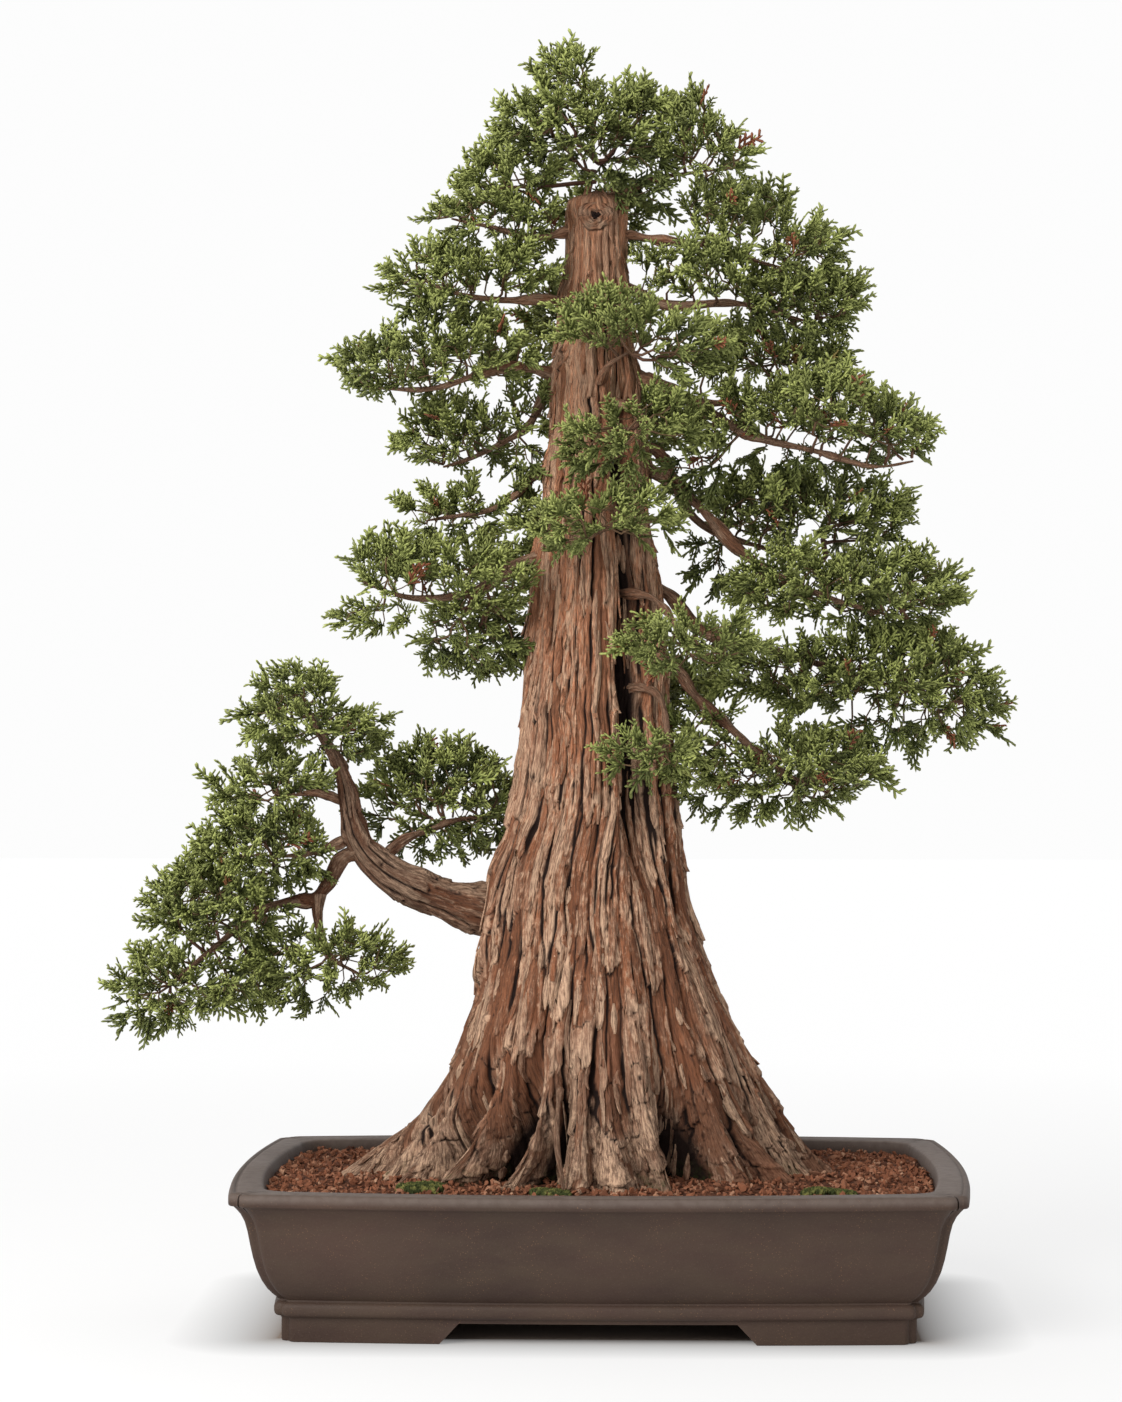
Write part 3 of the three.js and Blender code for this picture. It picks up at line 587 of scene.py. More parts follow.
# Long furrows up the trunk: heading, half-width in degrees, depth share, lowest and highest height in mm.
LONG_FURROWS = (
    (303, 10.5, 0.46, 185, 545),
    (317, 5.0, 0.20, 190, 560),
    (329, 3.5, 0.10, 120, 470),
    (252, 3.0, 0.05, 60, 330),
    (228, 3.5, 0.06, 180, 600),
    (95, 6.0, 0.12, 120, 420),
    (40, 5.0, 0.08, 150, 520),
    (165, 5.0, 0.08, 100, 380),
)
# Scars of cut branches: heading, height in mm, radius in mm.
SCARS = ((272, 615, 8.0), (205, 527, 6.0), (292, 452, 7.0), (60, 500, 8.0), (130, 300, 9.0))


def around_from(heading, centre):
    """Signed degrees from a centre heading."""
    return (heading - centre + 540) % 360 - 180


def trunk_radius(height, trunk):
    up = np.maximum(height, 0)
    taper = trunk.foot_radius + (trunk.tip_radius - trunk.foot_radius) * up / trunk.height
    flare = trunk.root_flare * np.exp(-up / trunk.flare_height)
    buried = 1 - 0.3 * np.maximum(-height, 0) / (24 * MM)
    return (taper + flare) * buried


def trunk_share(heading, height):
    """How much of the mean radius is left at a heading, because of hollows between the roots."""
    up = np.maximum(height, 0) / MM
    share = np.ones(np.broadcast(heading, height).shape)
    drift = 2.6 * np.sin(up / 37.0) + 1.6 * np.sin(up / 17.0 + 1.0)
    for centre, half_width, depth, reach, lean in ROOT_HOLLOWS:
        away = around_from(heading - 0.6 * lean * (1 - np.exp(-up / 45)), centre) / half_width
        share -= depth * np.exp(-((up / reach) ** 1.4)) * np.exp(-np.abs(away) ** 2.6)
    for centre, half_width, depth, low, high in LONG_FURROWS:
        away = around_from(heading + drift, centre) / half_width
        span = np.clip((up - low) / 50, 0, 1) * np.clip((high - up) / 60, 0, 1)
        share -= depth * span * np.exp(-np.abs(away) ** 2.4)
    share += 0.02 * np.sin(np.radians(heading) * 5 + up / 90)
    return share


def squash_at(height, trunk):
    up = np.maximum(height, 0)
    return 0.92 - 0.3 * np.exp(-up / trunk.flare_height)


def surface_point(heading, height, radius, trunk):
    """A place on the trunk from its heading in degrees, height above the soil and radius."""
    angle = np.radians(heading)
    x = TRUNK_X + radius * np.cos(angle)
    y = TRUNK_Y + radius * squash_at(height, trunk) * np.sin(angle)
    return np.stack(np.broadcast_arrays(x, y, SOIL_LEVEL + height), -1)


def line_noise(line, along, lines, seed):
    """Smooth noise from 0 to 1 along each of a number of lines."""
    period = 61
    grid = np.random.default_rng(seed).random((lines, period))
    low = np.floor(along).astype(int)
    share = along - low
    share = share * share * (3 - 2 * share)
    return grid[line, low % period] * (1 - share) + grid[line, (low + 1) % period] * share


def smooth_step(low, high, value):
    share = np.clip((value - low) / (high - low), 0, 1)
    return share * share * (3 - 2 * share)


def bark_strips(turns, along, around, levels, seed):
    """Overlapping strips of bark whose lower ends hang free.

    Takes the places' share of a turn, the distance along and the distance all the way around, in metres. Each
    level says how many strips go round, how long a strip's pieces are and how thick they are. Gives the height of
    the bark in metres, how dark it is from 0 to 1, at furrows and as painted shade just under the pieces' lifted
    lower ends, and a number for each piece of a strip.
    """
    rng = np.random.default_rng(seed)
    height = np.zeros(np.shape(turns))
    gap = np.zeros(np.shape(turns))
    tone = np.zeros(np.shape(turns))
    for level, (count, run, thick) in enumerate(levels):
        key = seed + 13 * level
        warp = 1.3 * (periodic_noise(turns, along / (run * 1.9), max(3, count // 6), key) - 0.5)
        warp += 0.55 * (periodic_noise(turns, along / (run * 0.42), max(5, count // 2), key + 1) - 0.5)
        warp += 0.13 * (periodic_noise(turns, along / (run * 0.09), count, key + 2) - 0.5)
        place = (turns * count + warp) % count
        strip = np.floor(place).astype(int) % count
        inside = place - np.floor(place)
        border = np.rint(place).astype(int) % count
        width = around / count
        active = smooth_step(0.0032, 0.0062, width)
        edge = np.minimum(inside, 1 - inside) * width
        opened = smooth_step(0.22, 0.75, line_noise(border, along / (run * 0.45), count, key + 3))
        reach = (0.0006 + 0.0007 * opened) * (0.7 + 0.3 * (thick > 0.0014))
        furrow = np.exp(-((edge / reach) ** 2)) * (0.35 + 0.65 * opened)
        phase, stretch = rng.random(count) * 9, 0.6 + 0.9 * rng.random(count)
        ragged = 0.10 * (periodic_noise(turns, along / 0.011, count * 4, key + 4) - 0.5)
        tongue = 0.011 / run * (1 - (2 * inside - 1) ** 2)
        cell = along / (run * stretch[strip]) + phase[strip] + tongue + ragged
        piece = np.floor(cell).astype(int)
        share = cell - piece
        length = run * stretch[strip]
        draws = rng.random((count, 64, 3))[strip, piece % 64]
        lift = np.clip(1 - share * length / 0.028, 0, 1) ** 1.6 * (0.35 + 0.9 * draws[..., 1])
        tilt = (inside - 0.5) * (draws[..., 2] - 0.5) * 2.0
        # below: painted shade just under each piece's lifted lower end.
        below = np.exp(-(((1 - share) * length / 0.0016) ** 2))
        height += active * thick * (0.9 * draws[..., 0] + 0.8 * lift + 1.3 * tilt - 1.6 * furrow - 0.5 * below)
        gap = np.maximum(gap, active * np.maximum(furrow, 0.85 * below) * min(1.0, thick / 0.0016))
        tone += active * (draws[..., 0] - 0.5 + 0.5 * (lift - 0.3)) * (1.0, 0.7, 0.5)[min(level, 2)]
    return height, gap, np.clip(tone + 0.5, 0, 1)


def smooth_route(points, step):
    """Evenly spaced points on a Catmull-Rom curve, and the direction at each."""
    p = np.asarray(points, float)
    p = np.vstack([2 * p[0] - p[1], p, 2 * p[-1] - p[-2]])
    fine = []
    for i in range(1, len(p) - 2):
        t = np.linspace(0, 1, 24, endpoint=False)[:, None]
        a, b, c, d = p[i - 1], p[i], p[i + 1], p[i + 2]
        fine.append(0.5 * (2 * b + (c - a) * t + (2 * a - 5 * b + 4 * c - d) * t**2 + (3 * b - a - 3 * c + d) * t**3))
    fine.append(p[-2][None])
    fine = np.vstack(fine)
    run = np.concatenate([[0], np.cumsum(np.linalg.norm(np.diff(fine, axis=0), axis=1))])
    count = max(4, int(round(run[-1] / step)))
    at = np.linspace(0, run[-1], count + 1)
    route = np.stack([np.interp(at, run, fine[:, k]) for k in range(3)], -1)
    ahead = np.gradient(route, axis=0)
    ahead /= np.linalg.norm(ahead, axis=1)[:, None]
    return route, ahead, at


def across_route(ahead):
    """Two directions square to a route that turn with it and never twist."""
    side = np.empty_like(ahead)
    start = np.array([0.0, 0.0, 1.0]) if abs(ahead[0, 2]) < 0.9 else np.array([1.0, 0.0, 0.0])
    side[0] = start - ahead[0] * start.dot(ahead[0])
    side[0] /= np.linalg.norm(side[0])
    for i in range(1, len(ahead)):
        turned = side[i - 1] - ahead[i] * side[i - 1].dot(ahead[i])
        side[i] = turned / np.linalg.norm(turned)
    return side, np.cross(ahead, side)


def route_in_metres(rise, points):
    height = settings().bonsai_trunk.height
    origin = np.array([TRUNK_X, TRUNK_Y, SOIL_LEVEL + rise * height])
    return origin + np.asarray(points, float) * MM


def limb_mesh(name, rise, thick, thin, points, material, seed):
    """A limb with strips of bark along it, knots and small bends."""
    rng = np.random.default_rng(seed)
    heavy = thick > 10
    step = 0.0022 if heavy else 0.0026
    around = 72 if heavy else 22
    route, ahead, run = smooth_route(route_in_metres(rise, points), step)
    side, other = across_route(ahead)
    total = run[-1]
    wave = np.sin(run[:, None] / np.array([0.017, 0.026]) + rng.random(2) * 6)
    bend = 0.0022 * np.clip(run / 0.03, 0, 1) * (0.4 if heavy else 1)
    route = route + side * (wave[:, :1] * bend[:, None]) + other * (wave[:, 1:] * bend[:, None])
    radius = (thick + (thin - thick) * (run / total) ** 0.7) * MM * (1.0 if heavy else 0.78)
    knots = (0.2 if heavy else 0.62) * (periodic_noise(run * 0, run / 0.011, 1, seed) - 0.5)
    radius = radius * (1 + knots) * (1 - 0.65 * (run / total) ** 4)
    turns = np.arange(around) / around
    grid_turns, grid_run = np.meshgrid(turns, run)
    levels = ((10, 0.055, 0.0021), (24, 0.03, 0.0011)) if heavy else ((6, 0.03, 0.0009),)
    rough, gap, strip = bark_strips(grid_turns, grid_run, 2 * math.pi * radius[:, None] * 1.6, levels, seed)
    swell = radius[:, None] + rough
    angle = grid_turns * 2 * math.pi
    points3 = route[:, None] + side[:, None] * (swell * np.cos(angle))[..., None]
    points3 = points3 + other[:, None] * (swell * np.sin(angle))[..., None]
    rows = len(run)
    vertices = np.vstack([points3.reshape(-1, 3), route[:1], route[-1:] + ahead[-1:] * radius[-1]])
    piece = make_mesh(name, vertices, closed_tube(rows, around), material)
    mean = radius.mean()
    flow = np.stack([mean * np.cos(angle), mean * np.sin(angle), grid_run + seed * 0.7], -1).reshape(-1, 3)
    add_vector(piece, "flow", np.vstack([flow, flow[:1], flow[-1:]]))
    aged = 0.45 + 0.25 * (grid_run / total)
    relief, strip, aged = (np.append(grid, [end, end]) for grid, end in ((1 - gap, 0.9), (strip, 0.5), (aged, 0.5)))
    add_numbers(piece, relief=relief, strip=strip, aged=aged, mossy=0, spread=0)
    places = np.stack([grid_turns, grid_run / total], -1).reshape(-1, 2)
    wrap_map(piece, places, around, rows)
    return piece


def wrap_map(piece, places, around, rows):
    """A UV map for a tube with caps: the last column of faces runs on to the map's edge."""
    quads = tube_faces(rows, around)
    corner_places = places[quads]
    last_column = (quads[:, :1] % around) == around - 1
    corner_places[..., 0] = np.where(last_column & (quads % around == 0), 1.0, corner_places[..., 0])
    body = corner_places * 0.94 + 0.03
    count = (len(piece.data.loops) - quads.size) // 3
    turn = np.arange(count) / count
    fan = np.stack([np.stack([turn, np.zeros(count)], -1)] * 3, 1)
    fan[:, 1, 0] += 0.5 / count
    fan[:, 2, 0] += 0.5 / count
    fan[:, 2, 1] += 0.012
    fan[:, 0, 1] += 0.004
    add_corner_map(piece, np.concatenate([body.reshape(-1, 2), fan.reshape(-1, 2) * 0.9 + 0.003]))


# ------------------------------------------------------------------ foliage


def spindle(start, end, width, flat, normal):
    """A closed blunt shoot of ten faces: three points where it leaves its stem, three near its end, and its tip."""
    ahead = end - start
    side = np.cross(ahead, normal)
    side = side / (np.linalg.norm(side) + 1e-12)
    up = np.cross(side, ahead)
    up = up / (np.linalg.norm(up) + 1e-12)
    ring = np.array([side - up * flat * 0.6, -side - up * flat * 0.6, up * flat * 1.4]) * width / 2
    points = np.vstack([start + ring * 0.8, start + ahead * 0.78 + ring, end])
    faces = [[1, 0, 2], [6, 3, 4], [6, 4, 5], [6, 5, 3]]
    for i, j in ((0, 1), (1, 2), (2, 0)):
        faces += [[i, j, j + 3], [i, j + 3, i + 3]]
    along = np.array([0.0, 0.0, 0.0, 0.65, 0.65, 0.70, 1.0])
    places = np.array([[0.2, 0.02], [0.8, 0.02], [0.5, 0.05], [0.05, 0.7], [0.95, 0.7], [0.5, 0.7], [0.5, 0.98]])
    return points, np.array(faces), along, places


def frond_shape(rng, foliage):
    """One flat spray: an axis with blunt shoots on alternate sides, the lower ones forked."""
    size, width = foliage.frond_length, foliage.shoot_width
    normal = np.array([0.0, 0.0, 1.0])
    curve = rng.uniform(-0.2, 0.2)
    droop = rng.uniform(-0.12, 0.16)
    parts = []

    def axis_at(share):
        y = share * size
        return np.array([curve * y * share, y, droop * size * share * share])

    for low, high in ((0.0, 0.6), (0.45, 1.0)):
        parts.append(spindle(axis_at(low), axis_at(high), width * 0.95, 0.6, normal))
    shoots = 7
    for k in range(shoots):
        share = 0.12 + 0.72 * k / (shoots - 1) + rng.uniform(-0.02, 0.02)
        hand = 1 if k % 2 else -1
        angle = math.radians(rng.uniform(42, 58)) * hand
        reach = size * (0.43 - 0.21 * share) * rng.uniform(0.85, 1.15)
        root = axis_at(share)
        direction = np.array([math.sin(angle), math.cos(angle), rng.uniform(-0.25, 0.30)])
        tip = root + direction * reach
        parts.append(spindle(root, tip, width * rng.uniform(0.95, 1.15), 0.6, normal))
        if k < 4:
            fork = angle - hand * math.radians(rng.uniform(42, 58))
            from_here = root + direction * reach * 0.38
            sprout = np.array([math.sin(fork), math.cos(fork), rng.uniform(-0.2, 0.3)])
            parts.append(spindle(from_here, from_here + sprout * reach * 0.62, width, 0.6, normal))
    points = np.vstack([p[0] for p in parts])
    faces = np.vstack([p[1] + 7 * i for i, p in enumerate(parts)])
    along = np.concatenate([p[2] for p in parts])
    places = np.vstack([p[3] for p in parts])
    reach = points[:, 1] / size
    return points, faces, np.clip(0.6 * along + 0.4 * reach, 0, 1), places


# Parts of the foliage that thicken a pad: middle from the trunk's foot and half sizes, in mm.
EXTRA_LOBES = {
    "crown": ((28, -8, 640, 17, 16, 30), (-2, -18, 660, 30, 13, 22), (12, 6, 668, 34, 18, 22)),
    "left_4": ((-46, 8, 506, 15, 12, 30), (-41, 10, 466, 13, 12, 22)),
    "left_5": ((-48, 8, 436, 12, 12, 16),),
    "right_2": ((36, 0, 584, 14, 12, 15),),
    "right_3": ((72, 16, 462, 20, 16, 18),),
    "right_4": ((67, -16, 456, 22, 14, 15), (144, -16, 466, 50, 14, 9)),
    "right_5": ((74, 14, 392, 14, 14, 22),),
    "left_6": ((-140, -20, 362, 26, 14, 10),),
    "right_7": ((196, 8, 292, 30, 18, 12), (170, 2, 288, 16, 12, 10)),
    "right_8": ((71, -15, 293, 22, 14, 9), (84, -15, 244, 30, 15, 9)),
    "low_rear": ((-104, 14, 220, 28, 12, 11), (-141, 18, 234, 11, 14, 18)),
    "low_tip": ((-283, -20, 104, 22, 14, 8),),
    "low_inner": ((-187, -24, 120, 18, 12, 7),),
}


def in_lobes(pad, place):
    """How deep a place is in the lobes that thicken a pad, in metres, or less than nothing outside them."""
    deepest = -1.0
    for x, y, z, *half in EXTRA_LOBES.get(pad, ()):
        middle = np.array([TRUNK_X + x * MM, TRUNK_Y + y * MM, SOIL_LEVEL + z * MM])
        away = np.linalg.norm((place - middle) / (np.array(half) * MM))
        deepest = max(deepest, (1 - away) * min(half) * MM)
    return deepest


def inside_tester(node):
    """A test of which points lie inside a closed node, and how deep."""
    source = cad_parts[node]
    points = [vertex.co.copy() for vertex in source.data.vertices]
    tree = BVHTree.FromPolygons(points, [list(face.vertices) for face in source.data.polygons])
    ray = Vector((0.137, 0.211, 0.967)).normalized()

    def depth(place):
        crossings, most = 0, 40
        start = Vector(place)
        for _ in range(most):
            hit = tree.ray_cast(start, ray)
            if hit[0] is None:
                break
            crossings += 1
            start = hit[0] + ray * 1e-6
        if crossings % 2 == 0:
            return -1.0
        return tree.find_nearest(Vector(place))[3]

    return depth


def scatter(node, rng, spacing):
    """Points in a pad, no nearer than the spacing, fewer deep inside it."""
    low, high = (np.array(corner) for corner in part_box(node))
    low, high = low - 0.02, high + 0.02
    depth = inside_tester(node)
    pad = node[len("foliage_"):]
    volume = np.prod(high - low)
    tries = rng.random((int(volume / spacing**3 * 4.0), 3)) * (high - low) + low
    chance = rng.random(len(tries))
    kept, depths = [], []
    taken = np.empty((0, 3))
    for place, luck in zip(tries, chance):
        if len(taken) and np.min(np.sum((taken - place) ** 2, axis=1)) < spacing * spacing:
            continue
        deep = depth(place)
        added = in_lobes(pad, place)
        top_side = place[2] > (low[2] + high[2]) / 2
        if added < 0 and deep < (6.2 if top_side else 1.2) * MM:
            continue
        if added < 0 and luck > np.interp(deep / MM, (0, 9, 22), (1.0, 0.85, 0.32)):
            continue
        deep = max(deep - 3 * MM, added, 0.0)
        kept.append(place)
        depths.append(deep)
        taken = np.array(kept)
    return taken, np.array(depths)


def grow_twigs(seeds, places):
    """Joins the places to the wood by short paths.

    Gives the nodes, seeds first, each one's parent, how many nodes it carries and the order they were joined in.
    """
    nodes = np.vstack([seeds, places])
    count, wood = len(nodes), len(seeds)
    parent = np.full(count, -1)
    path = np.zeros(count)
    reached = np.zeros(count, bool)
    reached[:wood] = True
    distance = np.linalg.norm(nodes[wood:, None] - nodes[None, :wood], axis=2)
    best = np.full(count, np.inf)
    best_from = np.full(count, -1)
    best_from[wood:] = distance.argmin(1)
    best[wood:] = distance.min(1)
    order = []
    for _ in range(count - wood):
        cost = np.where(reached, np.inf, best)
        pick = int(cost.argmin())
        parent[pick] = best_from[pick]
        step = np.linalg.norm(nodes[pick] - nodes[parent[pick]])
        path[pick] = path[parent[pick]] + step
        reached[pick] = True
        order.append(pick)
        offer = np.linalg.norm(nodes - nodes[pick], axis=1) + 0.35 * path[pick]
        better = offer < best
        best = np.where(better, offer, best)
        best_from = np.where(better, pick, best_from)
    weight = np.ones(count)
    for pick in reversed(order):
        weight[parent[pick]] += weight[pick]
    return nodes, parent, weight, order


def twig_tubes(nodes, parent, weight, order, rng, store):
    """Stores a bent, tapering tube for each step of the twigs."""
    for pick in order:
        start, end = nodes[parent[pick]], nodes[pick]
        ahead = end - start
        reach = np.linalg.norm(ahead)
        if reach < 1e-5:
            continue
        thick = 0.36 * MM * weight[pick] ** 0.40
        root = min(thick * 1.12, 2.6 * MM)
        thick = min(thick, 2.4 * MM)
        jitter = rng.normal(0, 0.09 * reach, 3)
        jitter[2] -= 0.05 * reach
        middle = (start + end) / 2 + jitter
        store.append((start, middle, end, root, (root + thick) / 2, thick * 0.92))


def tubes_mesh(store, name, material):
    """One mesh of bent, tapering tubes, each closed at both ends."""
    start, middle, end = (np.array([tube[k] for tube in store]) for k in range(3))
    radii = np.array([tube[3:] for tube in store])
    sides, columns = 4, 128
    ahead = end - start
    ahead /= np.linalg.norm(ahead, axis=1)[:, None]
    helper = np.where(np.abs(ahead[:, 2:3]) < 0.9, np.array([[0.0, 0.0, 1.0]]), np.array([[1.0, 0.0, 0.0]]))
    side = np.cross(ahead, helper)
    side /= np.linalg.norm(side, axis=1)[:, None]
    up = np.cross(side, ahead)
    angle = np.arange(sides) * 2 * math.pi / sides
    ring = side[:, None] * np.cos(angle)[None, :, None] + up[:, None] * np.sin(angle)[None, :, None]
    rings = [centre[:, None] + ring * radii[:, k, None, None] for k, centre in enumerate((start, middle, end))]
    per = sides * 3 + 2
    tips = (start - ahead * radii[:, :1] * 0.5, end + ahead * radii[:, 2:] * 0.8)
    points = np.concatenate([*rings, *(tip[:, None] for tip in tips)], 1)
    quads, triangles = [], []
    for row in range(2):
        for i in range(sides):
            after = (i + 1) % sides
            quads.append([row * sides + i, (row + 1) * sides + i, (row + 1) * sides + after, row * sides + after])
    for i in range(sides):
        after = (i + 1) % sides
        triangles.append([sides * 3, i, after])
        triangles.append([sides * 3 + 1, sides * 2 + after, sides * 2 + i])
    groups = [copy_faces(np.array(group), len(store), per) for group in (quads, triangles)]
    piece = make_mesh(name, points.reshape(-1, 3), groups, material)
    along = np.clip(1 - radii / (1.2 * MM), 0, 1)
    per_point = np.concatenate([np.repeat(along, sides, axis=1), along[:, :1], along[:, 2:]], 1)
    add_numbers(piece, along=per_point.ravel())
    local = np.concatenate(
        [
            np.stack([np.tile(np.arange(sides) / sides, 3), np.repeat([0.2, 0.5, 0.8], sides)], -1),
            [[0.5, 0.05], [0.5, 0.95]],
        ]
    )
    add_map(piece, in_cells(cell_corners(len(store), columns), local, columns))
    return piece


def place_fronds(name, shapes, bases, directions, normals, sizes, tints, outers, material):
    """One mesh of all a pad's fronds."""
    count = len(bases)
    pick = np.arange(count) % len(shapes)
    points, faces, along, tint, outer, places = [], [], [], [], [], []
    columns = max(8, int(math.ceil(math.sqrt(count))))
    cells = cell_corners(count, columns)
    total = 0
    for k, (shape, shape_faces, shape_along, shape_places) in enumerate(shapes):
        chosen = np.nonzero(pick == k)[0]
        if not len(chosen):
            continue
        ahead = unit(directions[chosen])
        side = unit(np.cross(ahead, normals[chosen]))
        up = np.cross(side, ahead)
        local = shape[None] * sizes[chosen, None, None]
        moved = bases[chosen, None] + side[:, None] * local[..., :1] + ahead[:, None] * local[..., 1:2]
        moved = moved + up[:, None] * local[..., 2:]
        per = len(shape)
        points.append(moved.reshape(-1, 3))
        faces.append(copy_faces(shape_faces, len(chosen), per, total))
        along.append(np.tile(shape_along, len(chosen)))
        tint.append(np.repeat(tints[chosen], per))
        outer.append(np.repeat(outers[chosen], per))
        places.append(in_cells(cells[chosen], shape_places, columns))
        total += len(chosen) * per
    piece = make_mesh(name, np.vstack(points), np.vstack(faces), material)
    add_numbers(piece, along=np.concatenate(along), tint=np.concatenate(tint), outer=np.concatenate(outer))
    add_map(piece, np.vstack(places))
    return piece


def wood_points(names):
    """Places along the wood that twigs may start from."""
    trunk = settings().bonsai_trunk
    routes = {entry[0]: entry for entry in (*BRANCHES, *SPURS, *LOW_LIMBS)}
    found = []
    for name in names:
        if name == "tip":
            heights = np.linspace(0.93, 1.0, 8) * trunk.height
            found.append(np.stack([heights * 0 + TRUNK_X, heights * 0 + TRUNK_Y, SOIL_LEVEL + heights], -1))
            continue
        _, rise, _, _, points = routes[name]
        route, _, run = smooth_route(route_in_metres(rise, points), 0.006)
        away = np.hypot(route[:, 0] - TRUNK_X, (route[:, 1] - TRUNK_Y))
        height = route[:, 2] - SOIL_LEVEL
        outside = away > trunk_radius(height, trunk) * 1.1
        found.append(route[outside | (run > run[-1] * 0.8)])
    return np.vstack(found)


# ------------------------------------------------------------------ operators


class BONSAI_OT_pot(bpy.types.Operator):
    """Builds the clay pot."""

    bl_idname = "bonsai.pot"
    bl_label = "Build the pot"

    def execute(self, context):
        build_pot(context.scene.bonsai_pot)
        return {"FINISHED"}


# Radius of the plain round corner that the stepped ones soften to.
SOFT_RADIUS = 0.024


def pot_outline(half_width, half_depth, step, bow_x, bow_y, rounding, soft):
    """The pot's outline at one height: swelling sides and stepped corners that may soften to plain round ones."""
    corner = (step + rounding) * (1 - soft) + SOFT_RADIUS * soft
    side_end, front_end = half_depth - corner, half_width - corner
    quarter = []
    for i in range(12):
        share = i / 12
        quarter.append((half_width + bow_x * (1 - share * share), side_end * share))
    turn = np.linspace(0, math.pi / 2, 6)
    inner = rounding * 0.55
    stepped = [(rounding - rounding * math.cos(a), step + rounding - rounding * math.sin(a)) for a in turn]
    stepped += [
        (step - inner + inner * math.sin(a), step - inner + inner * math.cos(a)) for a in np.linspace(0, math.pi / 2, 4)
    ]
    stepped += [(step + rounding - rounding * math.cos(a), rounding - rounding * math.sin(a)) for a in turn]
    for (x, y), a in zip(stepped, np.linspace(0, math.pi / 2, len(stepped))):
        round_x, round_y = SOFT_RADIUS * (1 - math.cos(a)), SOFT_RADIUS * (1 - math.sin(a))
        inset_x, inset_y = x * (1 - soft) + round_x * soft, y * (1 - soft) + round_y * soft
        quarter.append((half_width - inset_x, half_depth - inset_y))
    for i in range(19, 0, -1):
        share = i / 20
        quarter.append((front_end * share, half_depth + bow_y * (1 - share * share)))
    quarter = np.array(quarter)
    top = np.array([[0.0, half_depth + bow_y]])
    left = quarter[1:][::-1] * (-1, 1)
    half = np.vstack([quarter, top, left])
    return np.vstack([half, [[-quarter[0, 0], 0.0]], quarter[1:] * (-1, -1), -top, left * (-1, -1)])


def pot_sides(pot):
    """The rim's width and depth between the corners, without the bow of its sides."""
    return POT_HIGH[0] - POT_LOW[0] - 2 * pot.side_bow, POT_HIGH[1] - POT_LOW[1] - 2 * pot.front_bow


def build_pot(pot):
    """The pot's wall is a profile carried round its outline, with gaps cut between the feet."""
    width, depth = pot_sides(pot)
    profile_height, last_outside = 94, 30
    # Inset from the rim's corner and height, in millimetres, up the outside and down the inside.
    profile = [
        (47, 13.0), (47, 1.2), (46, 0), (31.2, 0), (30.4, 0.3), (30, 1.2), (30, 14.2), (29.6, 15.2),
        (27.2, 16.2), (26.2, 17.4), (25.8, 19.0), (25.8, 21.6), (26.2, 23.2), (27.2, 24.4), (28.2, 25.0), (28.3, 26.2),
        (27.2, 27.2), (24.8, 29.6), (22.0, 33.0), (18.8, 38.5), (16.0, 45.5), (14.0, 53), (12.4, 61),
        (11.0, 69), (9.4, 75.5), (7.0, 80.4), (4.6, 83.4), (3.2, 85.0), (2.6, 85.6), (0.8, 86.0),
        (0.1, 86.8), (0, 88.0), (0, 91.2), (0.5, 92.8), (1.5, 93.8), (2.6, 94.0), (3.3, 93.7), (3.9, 93.25),
        (4.6, 93.5), (5.3, 93.9), (6.4, 94.0), (17.0, 94.0), (18.2, 93.6), (18.9, 92.8), (19.2, 91.6),
        (20.4, 87), (24.0, 74), (30, 40), (40, 30), (46, 26),
    ]
    top = POT_HEIGHT / (profile_height * MM)
    rings = []
    worn = []
    for index, (inset, z) in enumerate(profile):
        rise = z / profile_height
        bow = 0.5 + 0.5 * rise
        step = (5 + 2 * rise) * MM * (pot.corner_step / 0.007)
        soft = np.clip((inset - 4) / 12, 0, 1) if index > last_outside else 0.0
        rounding = (3.4 + 3.0 * smooth_step(0.80, 0.93, rise)) * MM
        half_width, half_depth = width / 2 - inset * MM, depth / 2 - inset * MM
        ring = pot_outline(half_width, half_depth, step, pot.side_bow * bow, pot.front_bow * bow, rounding, soft)
        height = z * top * MM
        rings.append(np.column_stack([ring + POT_CENTRE[:2], np.full(len(ring), height)]))
        # The top of the rim and the band just under it are made paler.
        on_rim = 1.0 if (z > 93.5 and 5 < inset < 18.5) else (0.55 if z > 90.5 else 0.0)
        worn.append(np.full(len(ring), on_rim))
    middles = [[*POT_CENTRE[:2], profile[end][1] * MM] for end in (0, -1)]
    vertices = np.vstack([*rings, middles])
    piece = make_mesh("pot_body", vertices, closed_tube(len(rings), len(rings[0])), clay_finish())
    add_numbers(piece, worn=np.concatenate([*worn, [0, 0]]))
    cut_gaps(piece, pot)
    seat(piece, "clay", "pot")


